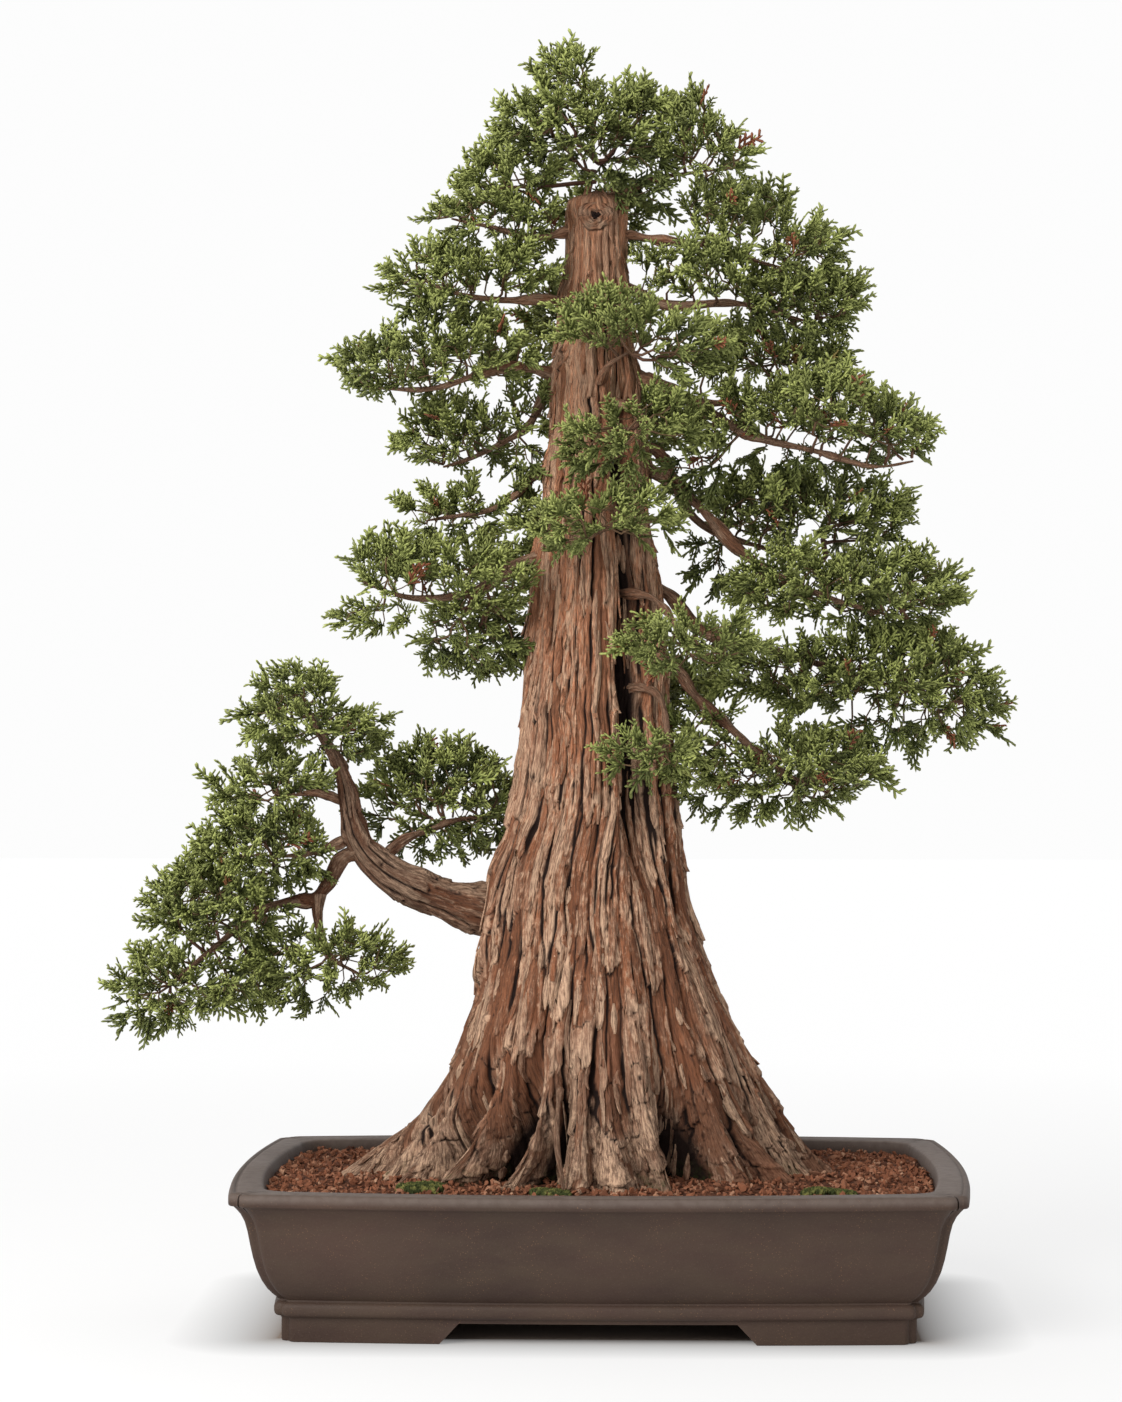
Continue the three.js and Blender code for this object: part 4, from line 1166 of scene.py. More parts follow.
def cut_gaps(piece, pot):
    """Cuts the gaps between the feet and the drain holes with boolean modifiers."""
    cutters = []
    for name, half, along_y in (("gap_front", 85 * MM, True), ("gap_side", 55 * MM, False)):
        bpy.ops.object.select_all(action="DESELECT")
        bpy.ops.mesh.primitive_cube_add(size=1.0)
        cutter = bpy.context.active_object
        cutter.name = name
        reach = 0.6
        for vertex in cutter.data.vertices:
            high = vertex.co.z > 0
            across = (half if high else half + 14 * MM) * (1 if (vertex.co.x if along_y else vertex.co.y) > 0 else -1)
            lengthways = reach * (1 if (vertex.co.y if along_y else vertex.co.x) > 0 else -1)
            x, y = (across, lengthways) if along_y else (lengthways, across)
            vertex.co = (POT_CENTRE[0] + x, POT_CENTRE[1] + y, pot.foot_height if high else -2 * MM)
        cutters.append(cutter)
    for hand in (-1, 1):
        bpy.ops.object.select_all(action="DESELECT")
        bpy.ops.mesh.primitive_cylinder_add(
            vertices=48, radius=0.013, depth=0.05, location=(POT_CENTRE[0] + hand * 0.095, POT_CENTRE[1], 0.02)
        )
        cutters.append(bpy.context.active_object)
    for cutter in cutters:
        modifier = piece.modifiers.new("cut", "BOOLEAN")
        modifier.object = cutter
        modifier.operation = "DIFFERENCE"
        modifier.solver = "EXACT"
        bpy.context.view_layer.objects.active = piece
        bpy.ops.object.modifier_apply(modifier=modifier.name)
    for cutter in cutters:
        bpy.data.objects.remove(cutter, do_unlink=True)
    bpy.ops.object.select_all(action="DESELECT")
    piece.select_set(True)
    bpy.context.view_layer.objects.active = piece
    bpy.ops.object.shade_smooth_by_angle(angle=math.radians(40))


class BONSAI_OT_trunk(bpy.types.Operator):
    """Builds the trunk and its roots."""

    bl_idname = "bonsai.trunk"
    bl_label = "Build the trunk"

    def execute(self, context):
        build_trunk(context.scene.bonsai_trunk)
        return {"FINISHED"}


TRUNK_LEVELS = ((26, 0.12, 0.0019), (54, 0.075, 0.0015), (112, 0.05, 0.0012), (60, 0.028, 0.0007))
FINE_TURNS = 1440


def bark_run(trunk):
    """Heights up the trunk, and the distance along the bark to each."""
    fine = np.linspace(-0.022, trunk.height, 1500)
    radius = trunk_radius(fine, trunk)
    return fine, np.concatenate([[0], np.cumsum(np.hypot(np.diff(fine), np.diff(radius)))])


def hump(value, middle, width):
    """One at the middle, and less and less away from it."""
    return np.exp(-(((value - middle) / width) ** 2))


def scar_distance(scar, heading, height, radius):
    """How far a place on the trunk is from a scar's middle, in the scar's own radii."""
    centre, level, size = scar
    return np.hypot(np.radians(around_from(heading, centre)) * radius, height - level * MM) / (size * MM)


def mean_radius(heading, height, along, trunk):
    """The trunk's radius without its bark: roots, hollows, ribs, swellings and scars."""
    turns = heading / 360
    rooty = np.exp(-np.maximum(height, 0) / 0.05)
    mean = trunk_radius(height, trunk) * trunk_share(heading, height)
    mean = mean + (periodic_noise(turns, along / 0.06, 16, 5) - 0.5) * (0.011 * rooty + 0.003)
    rib = 1 - np.abs(2 * periodic_noise(turns, along / 0.16, 40, 9) - 1)
    mean = mean + (rib - 0.5) * (0.014 * rooty + 0.0015)
    for scar in SCARS:
        distance = scar_distance(scar, heading, height, mean)
        mean = mean + 3.0 * MM * hump(distance, 1.0, 0.35) - 4.5 * MM * hump(distance, 0.0, 0.55)
    for _, rise, thick, _, points in (*BRANCHES, *SPURS, LOW_LIMBS[0]):
        toward = math.degrees(math.atan2(points[1][1], points[1][0]))
        level = rise * trunk.height + points[1][2] * MM * 0.6
        sideways = np.radians(around_from(heading, toward)) * mean
        distance = np.hypot(sideways, (height - level) * 0.75) / (thick * 2.0 * MM)
        ripple = 1 + 0.2 * np.cos(distance * 9)
        mean = mean + thick * 0.62 * MM * np.exp(-(distance**2)) * ripple
    up, lean = height / MM, np.cos(np.radians(heading))
    mean = mean + np.maximum(lean, 0) * MM * (6.0 * hump(up, 72, 38) - 4.5 * hump(up, 185, 60))
    mean = mean - np.maximum(-lean, 0) * MM * (6.0 * hump(up, 138, 36) + 3.0 * hump(up, 62, 40))
    top = np.clip((height - (trunk.height - 0.026)) / 0.005, 0, 1)
    stub = 0.0036 * hump(height - trunk.height, -0.030, 0.010)
    return (mean + stub) * np.sqrt(1 - 0.75 * top**2)


def trunk_skin(trunk, columns, rows, low, high):
    """A grid over a share of the trunk's bark, with columns that follow the grain of the roots."""
    fine, fine_run = bark_run(trunk)
    run = np.linspace(low, high, rows) * fine_run[-1]
    heights = np.interp(run, fine_run, fine)
    heading = np.arange(FINE_TURNS + 1) / FINE_TURNS * 360
    radius = mean_radius(*np.broadcast_arrays(heading[None] % 360, heights[:, None], run[:, None]), trunk)
    contour = surface_point(heading[None], heights[:, None], radius, trunk)
    reach = np.cumsum(np.linalg.norm(np.diff(contour, axis=1), axis=2), axis=1)
    reach = np.hstack([np.zeros((rows, 1)), reach])
    turns = np.arange(columns) / columns
    evened = 0.5 * reach / reach[:, -1:] + 0.5 * heading / 360
    headings = np.array([np.interp(turns, row, heading) for row in evened])
    grid_turns, grid_height = np.meshgrid(turns, heights)
    grid_run = np.broadcast_to(run[:, None], grid_turns.shape)
    means = mean_radius(headings, grid_height, grid_run, trunk)
    points = surface_point(headings, grid_height, means, trunk)
    normal = grid_normals(points)
    around = np.broadcast_to(reach[:, -1:], grid_turns.shape)
    rough, gap, strip = bark_strips(grid_turns, grid_run, around, TRUNK_LEVELS, 21)
    rooty = np.exp(-np.maximum(grid_height, 0) / 0.06)
    sunk = 0.0024 * smooth_step(0.12, 0.20, grid_height) + 0.0030 * smooth_step(0.14, 0.06, grid_height)
    swell = (rough - sunk) * (0.9 + 0.35 * rooty) * np.clip(means / 0.03, 0.5, 1.0)
    points = points + normal * swell[..., None]
    hollow = 1 - trunk_share(headings, grid_height)
    # Painted shade: the deep hollows between the roots and the long groove are darkened; the scars' middles are
    # darkened too.
    gap = np.maximum(gap, np.clip((hollow - 0.14) / 0.22, 0, 0.97))
    for scar in SCARS:
        gap = np.maximum(gap, 0.95 * hump(scar_distance(scar, headings, grid_height, means), 0.0, 0.5))
    return {"turns": grid_turns, "height": grid_height, "run": grid_run, "points": points, "normal": normal,
            "gap": gap, "strip": strip, "around": around}


def grid_normals(points):
    """Outward directions of a closed grid, smoothed a little."""
    along = np.gradient(points, axis=0)
    across = np.roll(points, -1, axis=1) - np.roll(points, 1, axis=1)
    normal = unit(np.cross(across, along))
    for _ in range(3):
        normal = unit(normal + np.roll(normal, 1, 1) + np.roll(normal, -1, 1))
        normal[1:-1] = unit(normal[1:-1] + normal[2:] + normal[:-2])
    return normal


def flow_vector(turns, run):
    """Where the bark's fibre pattern is read: round a cylinder, and along the bark's own run."""
    angle = turns * 2 * math.pi
    return np.stack([0.05 * np.cos(angle), 0.05 * np.sin(angle), run], -1)


def build_trunk(trunk):
    """The trunk in two pieces that meet above the roots, and its knot."""
    material = bark_finish()
    parts = (
        ("trunk_lower", trunk.root_columns, trunk.root_rows, 0.0, 0.30),
        ("trunk_upper", trunk.columns, trunk.rows, 0.295, 0.972),
    )
    for name, columns, rows, low, high in parts:
        skin = trunk_skin(trunk, columns, rows, low, high)
        points = skin["points"]
        upper = low > 0
        centre = points[-1 if upper else 0].mean(0) + (0, 0, 0.003 if upper else 0)
        vertices = np.vstack([points.reshape(-1, 3), centre[None]])
        cap = cap_fan(columns, rows, columns * rows, upper)
        piece = make_mesh(name, vertices, [tube_faces(rows, columns), cap], material)
        flow = flow_vector(skin["turns"], skin["run"]).reshape(-1, 3)
        add_vector(piece, "flow", np.vstack([flow, flow[:1]]))
        height = skin["height"]
        mossy = np.clip(1 - height / 0.018, 0, 1) * (periodic_noise(skin["turns"], height * 0, 34, 3) > 0.60)
        numbers = {"relief": 1 - skin["gap"], "strip": skin["strip"], "aged": bark_age(height), "mossy": mossy,
                   "spread": bark_spread(skin["around"])}
        add_numbers(piece, **{name: np.append(values, 0.5) for name, values in numbers.items()})
        level = np.linspace(0, 1, rows)[:, None] + np.zeros(columns)
        wrap_map(piece, np.stack([skin["turns"], level], -1).reshape(-1, 2), columns, rows)
        seat(piece, "bark", *([] if upper else ["trunk"]))
    lay_knot(trunk, 270, 618, 8.5)


def lay_knot(trunk, heading, level, size):
    """The healed end of a cut branch: a ring of bark round a dark eye."""
    height = np.array(level * MM)
    radius = trunk_radius(height, trunk) + 0.5 * MM
    middle = Vector(surface_point(heading, height, radius, trunk))
    out = Vector((math.cos(math.radians(heading)), math.sin(math.radians(heading)), 0.12))
    turn = out.to_track_quat("Z", "Y").to_euler()
    parts = []
    for reach, thick, lift in ((1.0, 0.34, 0.0), (0.58, 0.27, 0.12)):
        bpy.ops.object.select_all(action="DESELECT")
        bpy.ops.mesh.primitive_torus_add(
            location=middle + out * size * lift * MM, rotation=turn, major_segments=72, minor_segments=18,
            major_radius=size * reach * MM, minor_radius=size * thick * MM,
        )
        parts.append(bpy.context.active_object)
    bpy.ops.mesh.primitive_uv_sphere_add(
        location=middle + out * size * 0.10 * MM, rotation=turn, segments=32, ring_count=16, radius=size * 0.36 * MM,
    )
    eye = bpy.context.active_object
    parts.append(eye)
    for part in parts:
        part.scale = (1.0, 0.82, 0.62)
        part.select_set(True)
    bpy.ops.object.transform_apply(location=True, rotation=True, scale=True)
    relief = np.concatenate([np.full(len(part.data.vertices), 0.15 if part is eye else 0.95) for part in parts])
    bpy.context.view_layer.objects.active = parts[0]
    bpy.ops.object.join()
    knot = bpy.context.active_object
    points = np.array([vertex.co for vertex in knot.data.vertices])
    away = points - np.array(middle)
    angle = np.arctan2(away[:, 2], away[:, 0])
    away = unit(away) * (np.sin(angle * 3 + 0.6) * 1.6 + np.sin(angle * 8 + away[:, 2] * 900))[:, None]
    for vertex, shift in zip(knot.data.vertices, away * 0.40 * MM):
        vertex.co += Vector(shift)
    bpy.ops.object.shade_smooth()
    knot.name = "knot"
    knot.data.materials.append(bark_finish("knot_bark", 1.0, 0.62))
    spread = np.linalg.norm(points - np.array(middle), axis=1)
    add_vector(knot, "flow", np.stack([spread, points[:, 1], angle * size * MM], -1))
    waves = 0.5 + 0.5 * np.sin(spread / (size * MM) * 17 + angle * 2)
    relief = relief * (0.42 + 0.58 * waves)
    add_numbers(knot, relief=relief, strip=0.5 + 0.4 * np.sin(angle * 5), aged=0.45, mossy=0, spread=0)
    seat(knot, "bark")


def bark_age(height):
    """How weathered the bark is: red above, grey on the roots."""
    return np.clip(0.14 + 0.86 * np.exp(-np.maximum(height, 0) / 0.085), 0, 1)


def bark_spread(around):
    """How much finer the fibre's pattern must be, where the trunk is wide."""
    return smooth_step(0.36, 0.85, around)


class BONSAI_OT_flakes(bpy.types.Operator):
    """Lays loose flakes of bark over the trunk."""

    bl_idname = "bonsai.flakes"
    bl_label = "Lay the loose bark"

    def execute(self, context):
        lay_flakes(context.scene.bonsai_trunk)
        return {"FINISHED"}


def lay_flakes(trunk):
    """Thin tapering plates that follow the bark's grain and lift at their lower ends."""
    rows, columns = 360, 480
    skin = trunk_skin(trunk, columns, rows, 0.0, 1.0)
    points, normal, run = skin["points"], skin["normal"], skin["run"][:, 0]
    rng = np.random.default_rng(17)
    step = run[1] - run[0]
    across, long, map_columns = 3, 7, 36
    per = 2 * long * across
    vertices, flows, strips, ages, spreads = [], [], [], [], []
    for _ in range(trunk.flakes):
        row = (0.03 + 0.90 * rng.random() ** 1.4) * rows
        column = rng.uniform(0, columns)
        level = skin["height"][int(row), 0]
        around = skin["around"][int(row), 0]
        length = 0.011 + 0.050 * rng.random() ** 1.7
        width = rng.uniform(0.0022, 0.0058) * (0.75 + length / 0.10)
        share = np.linspace(0, 1, long)
        taper = np.sin(np.pi * np.clip(share * 0.90 + 0.07, 0, 1)) ** 0.75
        sway = rng.normal(0, 0.0012) * np.sin(share * math.pi) + np.cumsum(rng.normal(0, 0.00025, long))
        side = np.linspace(-0.5, 0.5, across)
        ragged = rng.normal(0, 0.00045, (long, across)) * (np.abs(side) > 0.4)
        offset = (side[None] * width * taper[:, None] + sway[:, None] + ragged) / around * columns
        r = np.clip(row + share[:, None] * length / step + np.zeros_like(offset), 0, rows - 1.001)
        c = column + offset
        low, left = np.floor(r).astype(int), np.floor(c).astype(int)
        a, b = (r - low)[..., None], (c - left)[..., None]
        left, right = left % columns, (left + 1) % columns

        def blend(grid):
            near = grid[low, left] * (1 - b) + grid[low, right] * b
            far = grid[low + 1, left] * (1 - b) + grid[low + 1, right] * b
            return near * (1 - a) + far * a

        place, out = blend(points), unit(blend(normal))
        smooth = place.copy()
        smooth[1:-1] = (place[1:-1] * 2 + place[2:] + place[:-2]) / 4
        peel = 0.0003 + 0.0022 * rng.random() ** 2
        lift = 0.0005 + peel * (1 - share) ** 2.0
        curl = rng.normal(0, 0.0005)
        top = smooth + out * (lift[:, None, None] + curl * (2 * side[None, :, None]) ** 2)
        under = top - out * 0.0008
        vertices.append(np.concatenate([top.reshape(-1, 3), under.reshape(-1, 3)]))
        flow = flow_vector((c % columns) / columns, r * step)
        flows.append(np.tile(flow.reshape(-1, 3), (2, 1)))
        strips.append(rng.uniform(0.25, 1.0))
        ages.append(bark_age(level))
        spreads.append(bark_spread(around))
    count = len(vertices)
    faces = copy_faces(flake_faces(long, across), count, per)
    piece = make_mesh("loose_bark", np.vstack(vertices), faces, bark_finish("loose_bark_finish"))
    add_vector(piece, "flow", np.vstack(flows))
    strip, aged, spread = (np.repeat(values, per) for values in (strips, ages, spreads))
    add_numbers(piece, strip=strip, aged=aged, spread=spread, relief=1, mossy=0)
    v, u = np.meshgrid(np.linspace(0.05, 0.95, long), np.linspace(0.05, 0.45, across), indexing="ij")
    local = np.concatenate([np.stack([u, v], -1).reshape(-1, 2), np.stack([u + 0.5, v], -1).reshape(-1, 2)])
    add_map(piece, in_cells(cell_corners(count, map_columns), local, map_columns, 0.92))
    seat(piece, "bark")


def flake_faces(long, across):
    """Quads of one closed flake: its face, its back and its edge."""

    def face(layer, i, j):
        return layer * long * across + i * across + j

    quads = []
    for i in range(long - 1):
        for j in range(across - 1):
            quads.append([face(0, i, j), face(0, i, j + 1), face(0, i + 1, j + 1), face(0, i + 1, j)])
            quads.append([face(1, i, j), face(1, i + 1, j), face(1, i + 1, j + 1), face(1, i, j + 1)])
    rim = [(0, j) for j in range(across - 1)] + [(i, across - 1) for i in range(long - 1)]
    rim += [(long - 1, j) for j in range(across - 1, 0, -1)] + [(i, 0) for i in range(long - 1, 0, -1)]
    for (i, j), (k, m) in zip(rim, rim[1:] + rim[:1]):
        quads.append([face(0, i, j), face(1, i, j), face(1, k, m), face(0, k, m)])
    return np.array(quads)


class BONSAI_OT_limbs(bpy.types.Operator):
    """Builds the branches and the short spurs."""

    bl_idname = "bonsai.limbs"
    bl_label = "Build the limbs"

    def execute(self, context):
        # The limbs' bark is a darker copy of the trunk's: partly their own browner bark, partly painted shade where
        # they sit under the foliage.
        material = bark_finish("limb_bark", 1.2, 0.62)
        for index, (name, rise, thick, thin, points) in enumerate(BRANCHES):
            piece = limb_mesh(f"limb_{name}", rise, thick, thin, points, material, 40 + index)
            seat(piece, "bark", f"branch_{name}")
        for index, (name, rise, thick, thin, points) in enumerate(SPURS):
            piece = limb_mesh(f"spur_{name}", rise, thick, thin, points, material, 70 + index)
            seat(piece, "bark")
        hanging = limb_mesh("root_hanging", 0.0, 2.7, 2.3, HANGING_ROOT, material, 120)
        seat(hanging, "bark")
        low_nodes = {"low_rising": "branch_low_rising", "low_falling": "branch_low_falling"}
        for index, (name, rise, thick, thin, points) in enumerate(LOW_LIMBS):
            piece = limb_mesh(f"limb_{name}", rise, thick, thin, points, material, 90 + index)
            seat(piece, "bark", *([low_nodes[name]] if name in low_nodes else []))
        return {"FINISHED"}


class BONSAI_OT_foliage(bpy.types.Operator):
    """Grows the twigs and the fronds of every pad."""

    bl_idname = "bonsai.foliage"
    bl_label = "Grow the foliage"

    def execute(self, context):
        grow_foliage(context.scene.bonsai_foliage)
        return {"FINISHED"}


def grow_foliage(foliage):
    """Sprays on twigs that start at each pad's wood, fuller at its tips and outer shell."""
    material = leaf_finish()
    rng = np.random.default_rng(foliage.seed)
    shapes = [frond_shape(rng, foliage) for _ in range(7)]
    spacing = foliage.spacing * 1.0
    store = []
    pads = [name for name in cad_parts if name.startswith("foliage_")]
    for node in sorted(pads):
        pad = node[len("foliage_"):]
        rng = np.random.default_rng([foliage.seed, *pad.encode()])
        places, depths = scatter(node, rng, spacing)
        seeds = wood_points(PAD_WOOD.get(pad, (pad,)))
        low, high = (np.array(corner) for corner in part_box(node))
        near = np.all((seeds > low - 0.012) & (seeds < high + 0.012), axis=1)
        seeds = seeds[near] if near.any() else seeds[-3:]
        nodes, parent, weight, order = grow_twigs(seeds, places)
        twig_tubes(nodes, parent, weight, order, rng, store)
        centre = (low + high) / 2 - np.array([0, 0, 0.25 * (high[2] - low[2])])
        half = (high - low) / 2
        picks = np.array(order)
        growth = unit(nodes[picks] - nodes[parent[picks]])
        outward = unit((nodes[picks] - centre) / half**1.1)
        tips = weight[picks] <= 1.0
        bases, directions, sizes, outers = [], [], [], []
        shell = np.interp(depths[picks - len(seeds)] / MM, (0, 5, 18), (1.0, 0.75, 0.0))
        for kind in range(4):
            chosen = tips if kind > 1 else shell >= (0.0, 0.12)[kind]
            if not chosen.any():
                continue
            lead = 0.65 * growth[chosen] + 0.75 * outward[chosen] + np.array([0, 0, 0.10])
            lead = lead + rng.normal(0, 0.26, lead.shape)
            if kind:
                swing = unit(np.cross(unit(lead), rng.normal(0, 1, lead.shape)))
                lead = unit(lead) + swing * rng.uniform(0.35, 0.75, (len(lead), 1))
            bases.append(nodes[picks][chosen] - unit(lead) * 0.0015)
            directions.append(lead)
            sizes.append(rng.uniform(0.70, 1.15, chosen.sum()) * (1.0, 0.9, 1.15, 0.9)[kind])
            # Painted shade: fronds low in a pad get a lower outer number, so the pad's underside is painted darker, as
            # if lit from above.
            raised = smooth_step(0.0, 0.55, (nodes[picks][chosen][:, 2] - low[2]) / (high[2] - low[2]))
            outers.append(shell[chosen] * (0.35 + 0.65 * raised))
        bases, directions = np.vstack(bases), np.vstack(directions)
        sizes, outers = np.concatenate(sizes), np.concatenate(outers)
        normals = unit(np.array([0.0, 0.0, 0.7]) + rng.normal(0, 0.75, bases.shape))
        tints = rng.random(len(bases))
        piece = place_fronds(f"sprays_{pad}", shapes, bases, directions, normals, sizes, tints, outers, material)
        seat(piece, "foliage", node)
    twigs = tubes_mesh(store, "twigs", twig_finish())
    seat(twigs, "bark")


class BONSAI_OT_soil(bpy.types.Operator):
    """Builds the bed of soil, its grains and the moss, and gives the drain screens their netting finish."""

    bl_idname = "bonsai.soil"
    bl_label = "Build the soil"

    def execute(self, context):
        build_soil(context.scene.bonsai_soil)
        grow_moss()
        netting = netting_finish()
        for name in ("drain_mesh_left", "drain_mesh_right"):
            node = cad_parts[name]
            node.data.materials.clear()
            node.data.materials.append(netting)
        return {"FINISHED"}


def soil_outline(inset, rise=0.92):
    """The outline of the soil at a share of the pot's height."""
    pot = settings().bonsai_pot
    width, depth = pot_sides(pot)
    bow = 0.5 + 0.5 * rise
    return pot_outline(
        width / 2 - inset, depth / 2 - inset, 6.8 * MM, pot.side_bow * bow, pot.front_bow * bow, 3.4 * MM, 1.0
    )


def soil_height(x, y):
    """The soil's height: a low mound at the trunk, slightly uneven."""
    away = np.hypot((x - POT_CENTRE[0]) / 0.2, (y - POT_CENTRE[1]) / 0.13)
    uneven = 0.0009 * np.sin(x * 61 + 1) * np.cos(y * 83) + 0.0006 * np.sin(x * 171 + y * 143)
    return SOIL_LEVEL + 0.0022 + 0.005 * (1 - np.clip(away, 0, 1) ** 2) + uneven


def in_outline(x, y, outline):
    """True for places within an outline of points that runs once round the origin."""
    heading = np.arctan2(outline[:, 1], outline[:, 0])
    order = np.argsort(heading)
    reach = np.hypot(outline[order, 0], outline[order, 1])
    return np.hypot(x, y) < np.interp(np.arctan2(y, x), heading[order], reach, period=2 * math.pi)


def root_radius(x, y):
    """The trunk's radius at the soil in the direction of a place, and the place's own distance, squash taken out."""
    trunk = settings().bonsai_trunk
    squash = squash_at(np.array(0.0), trunk)
    heading = np.degrees(np.arctan2((y - TRUNK_Y) / squash, x - TRUNK_X))
    away = np.hypot(x - TRUNK_X, (y - TRUNK_Y) / squash)
    reach = trunk_radius(np.array(0.004), trunk) * trunk_share(heading, np.full(np.shape(x), 0.004))
    return reach, away


def build_soil(soil):
    """The bed of soil, and the grains on top of it."""
    rng = np.random.default_rng(3)
    edge = soil_outline(0.0205)
    shares = (1.0, 0.97, 0.93, 0.88, 0.82, 0.75, 0.67, 0.58, 0.48, 0.36, 0.22, 0.1)
    walls = ((0.0465, 0.0262), (0.0415, 0.031), (0.0310, 0.056), (0.0225, 0.080))
    rings = [
        np.column_stack([soil_outline(inset, z / POT_HEIGHT) + POT_CENTRE[:2], np.full(len(edge), z)])
        for inset, z in walls
    ]
    for share in shares:
        ring = edge * share + POT_CENTRE[:2]
        rings.append(np.column_stack([ring, soil_height(ring[:, 0], ring[:, 1]) - 0.002]))
    middles = [[*POT_CENTRE[:2], height] for height in (walls[0][1], SOIL_LEVEL + 0.004)]
    bed = make_mesh("soil_bed", np.vstack([*rings, middles]), closed_tube(len(rings), len(edge)), bed_finish())
    seat(bed, "soil", "soil")
    scatter_grains(soil, rng, edge)


def grain_shapes(rng, count):
    """Angular grains, each the hull of a few random points."""
    shapes = []
    for _ in range(count):
        hull = bmesh.new()
        directions = unit(rng.normal(0, 1, (11, 3)))
        stretch = np.array([1.0, rng.uniform(0.5, 0.8), rng.uniform(0.35, 0.6)])
        for direction in directions:
            hull.verts.new(direction * stretch * rng.uniform(0.8, 1.1))
        bmesh.ops.convex_hull(hull, input=hull.verts)
        bmesh.ops.delete(hull, geom=[v for v in hull.verts if not v.link_faces], context="VERTS")
        bmesh.ops.triangulate(hull, faces=hull.faces)
        bmesh.ops.recalc_face_normals(hull, faces=hull.faces)
        hull.verts.index_update()
        points = np.array([vertex.co[:] for vertex in hull.verts])
        faces = np.array([[vertex.index for vertex in face.verts] for face in hull.faces])
        hull.free()
        shapes.append((points, faces))
    return shapes


def random_turns(rng, count):
    """Random rotation matrices."""
    q = unit(rng.normal(0, 1, (count, 4)))
    w, x, y, z = q.T
    rows = [
        [1 - 2 * (y * y + z * z), 2 * (x * y - z * w), 2 * (x * z + y * w)],
        [2 * (x * y + z * w), 1 - 2 * (x * x + z * z), 2 * (y * z - x * w)],
        [2 * (x * z - y * w), 2 * (y * z + x * w), 1 - 2 * (x * x + y * y)],
    ]
    return np.array([[np.asarray(cell) for cell in row] for row in rows]).transpose(2, 0, 1)


def scatter_grains(soil, rng, edge):
    """One mesh of all the grains, clear of the trunk and inside the pot's edge."""
    count = soil.grains // 1
    x = rng.uniform(POT_LOW[0], POT_HIGH[0], count * 3)
    y = rng.uniform(POT_LOW[1], POT_HIGH[1], count * 3)
    reach, away = root_radius(x, y)
    fits = in_outline(x - POT_CENTRE[0], y - POT_CENTRE[1], edge * 0.992) & (away > reach * 0.94)
    x, y = x[fits][:count], y[fits][:count]
    sizes = soil.grain / 2 * np.exp(rng.normal(0, 0.28, len(x)))
    z = soil_height(x, y) - 0.0012 + rng.uniform(-0.0012, 0.0012, len(x))
    centres = np.column_stack([x, y, z])
    turns = random_turns(rng, len(x))
    tints = np.clip(rng.normal(0.5, 0.2, len(x)), 0, 1)
    shapes = grain_shapes(rng, 8)
    columns = 100
    cells = cell_corners(len(x), columns)
    points, faces, tint, places = [], [], [], []
    total = 0
    for k, (shape, shape_faces) in enumerate(shapes):
        chosen = np.nonzero(np.arange(len(x)) % len(shapes) == k)[0]
        moved = np.einsum("nij,pj->npi", turns[chosen], shape) * sizes[chosen, None, None] + centres[chosen, None]
        points.append(moved.reshape(-1, 3))
        faces.append(copy_faces(shape_faces, len(chosen), len(shape), total))
        tint.append(np.repeat(tints[chosen], len(shape)))
        places.append(in_cells(cells[chosen], shape[:, :2] / 2.4 + 0.5, columns))
        total += len(chosen) * len(shape)
    piece = make_mesh("soil_grains", np.vstack(points), np.vstack(faces), grain_finish(), smooth=False)
    add_numbers(piece, tint=np.concatenate(tint))
    add_map(piece, np.vstack(places))
    seat(piece, "soil")


def grow_moss():
    """Short upright tufts over each cushion of moss."""
    material = moss_finish()
    count = 520
    for index, name in enumerate(("moss_left", "moss_front", "moss_right")):
        rng = np.random.default_rng(60 + index)
        low, high = (np.array(corner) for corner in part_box(name))
        centre, half = (low + high) / 2, (high - low) / 2
        share = np.sqrt(rng.random(count))
        angle = rng.random(count) * 2 * math.pi
        x = centre[0] + half[0] * share * np.cos(angle)
        y = centre[1] + half[1] * share * np.sin(angle)
        rise = (high[2] - low[2]) * np.sqrt(np.clip(1 - share**2, 0, 1)) * 0.8
        bases = np.column_stack([x, y, soil_height(x, y) - 0.001 + rise * 0.6])
        store = []
        for base, tall in zip(bases, rng.uniform(0.0008, 0.0019, count)):
            lean = rng.normal(0, 0.35, 3)
            lean[2] = 1.0
            lean /= np.linalg.norm(lean)
            middle = base + lean * tall * 0.5
            store.append((base - lean * 0.002, middle, base + lean * tall, 0.0009, 0.0008, 0.0004))
        piece = tubes_mesh(store, f"{name}_cushion", material)
        seat(piece, "moss", name)


class BONSAI_OT_stage(bpy.types.Operator):
    """Sets the floor, the lights and the camera."""

    bl_idname = "bonsai.stage"
    bl_label = "Set the stage"

    def execute(self, context):
        stage = context.scene.bonsai_stage
        bpy.ops.object.select_all(action="DESELECT")
        bpy.ops.mesh.primitive_plane_add(size=14.0, location=(0, 0, 0))
        floor = context.active_object
        floor.name = "studio_floor"
        floor.data.materials.append(floor_finish(stage))
        add_light("key_light", (-1.55, -2.0, 1.75), stage.key_power, 1.9, (1.0, 0.985, 0.96))
        add_light("fill_light", (1.9, -1.9, 0.9), stage.fill_power, 1.6, (0.97, 0.985, 1.0))
        add_light("top_light", (-0.1, 0.5, 2.4), stage.fill_power * 3.2, 1.8, (1.0, 1.0, 1.0))
        set_world()
        set_camera(stage)
        return {"FINISHED"}


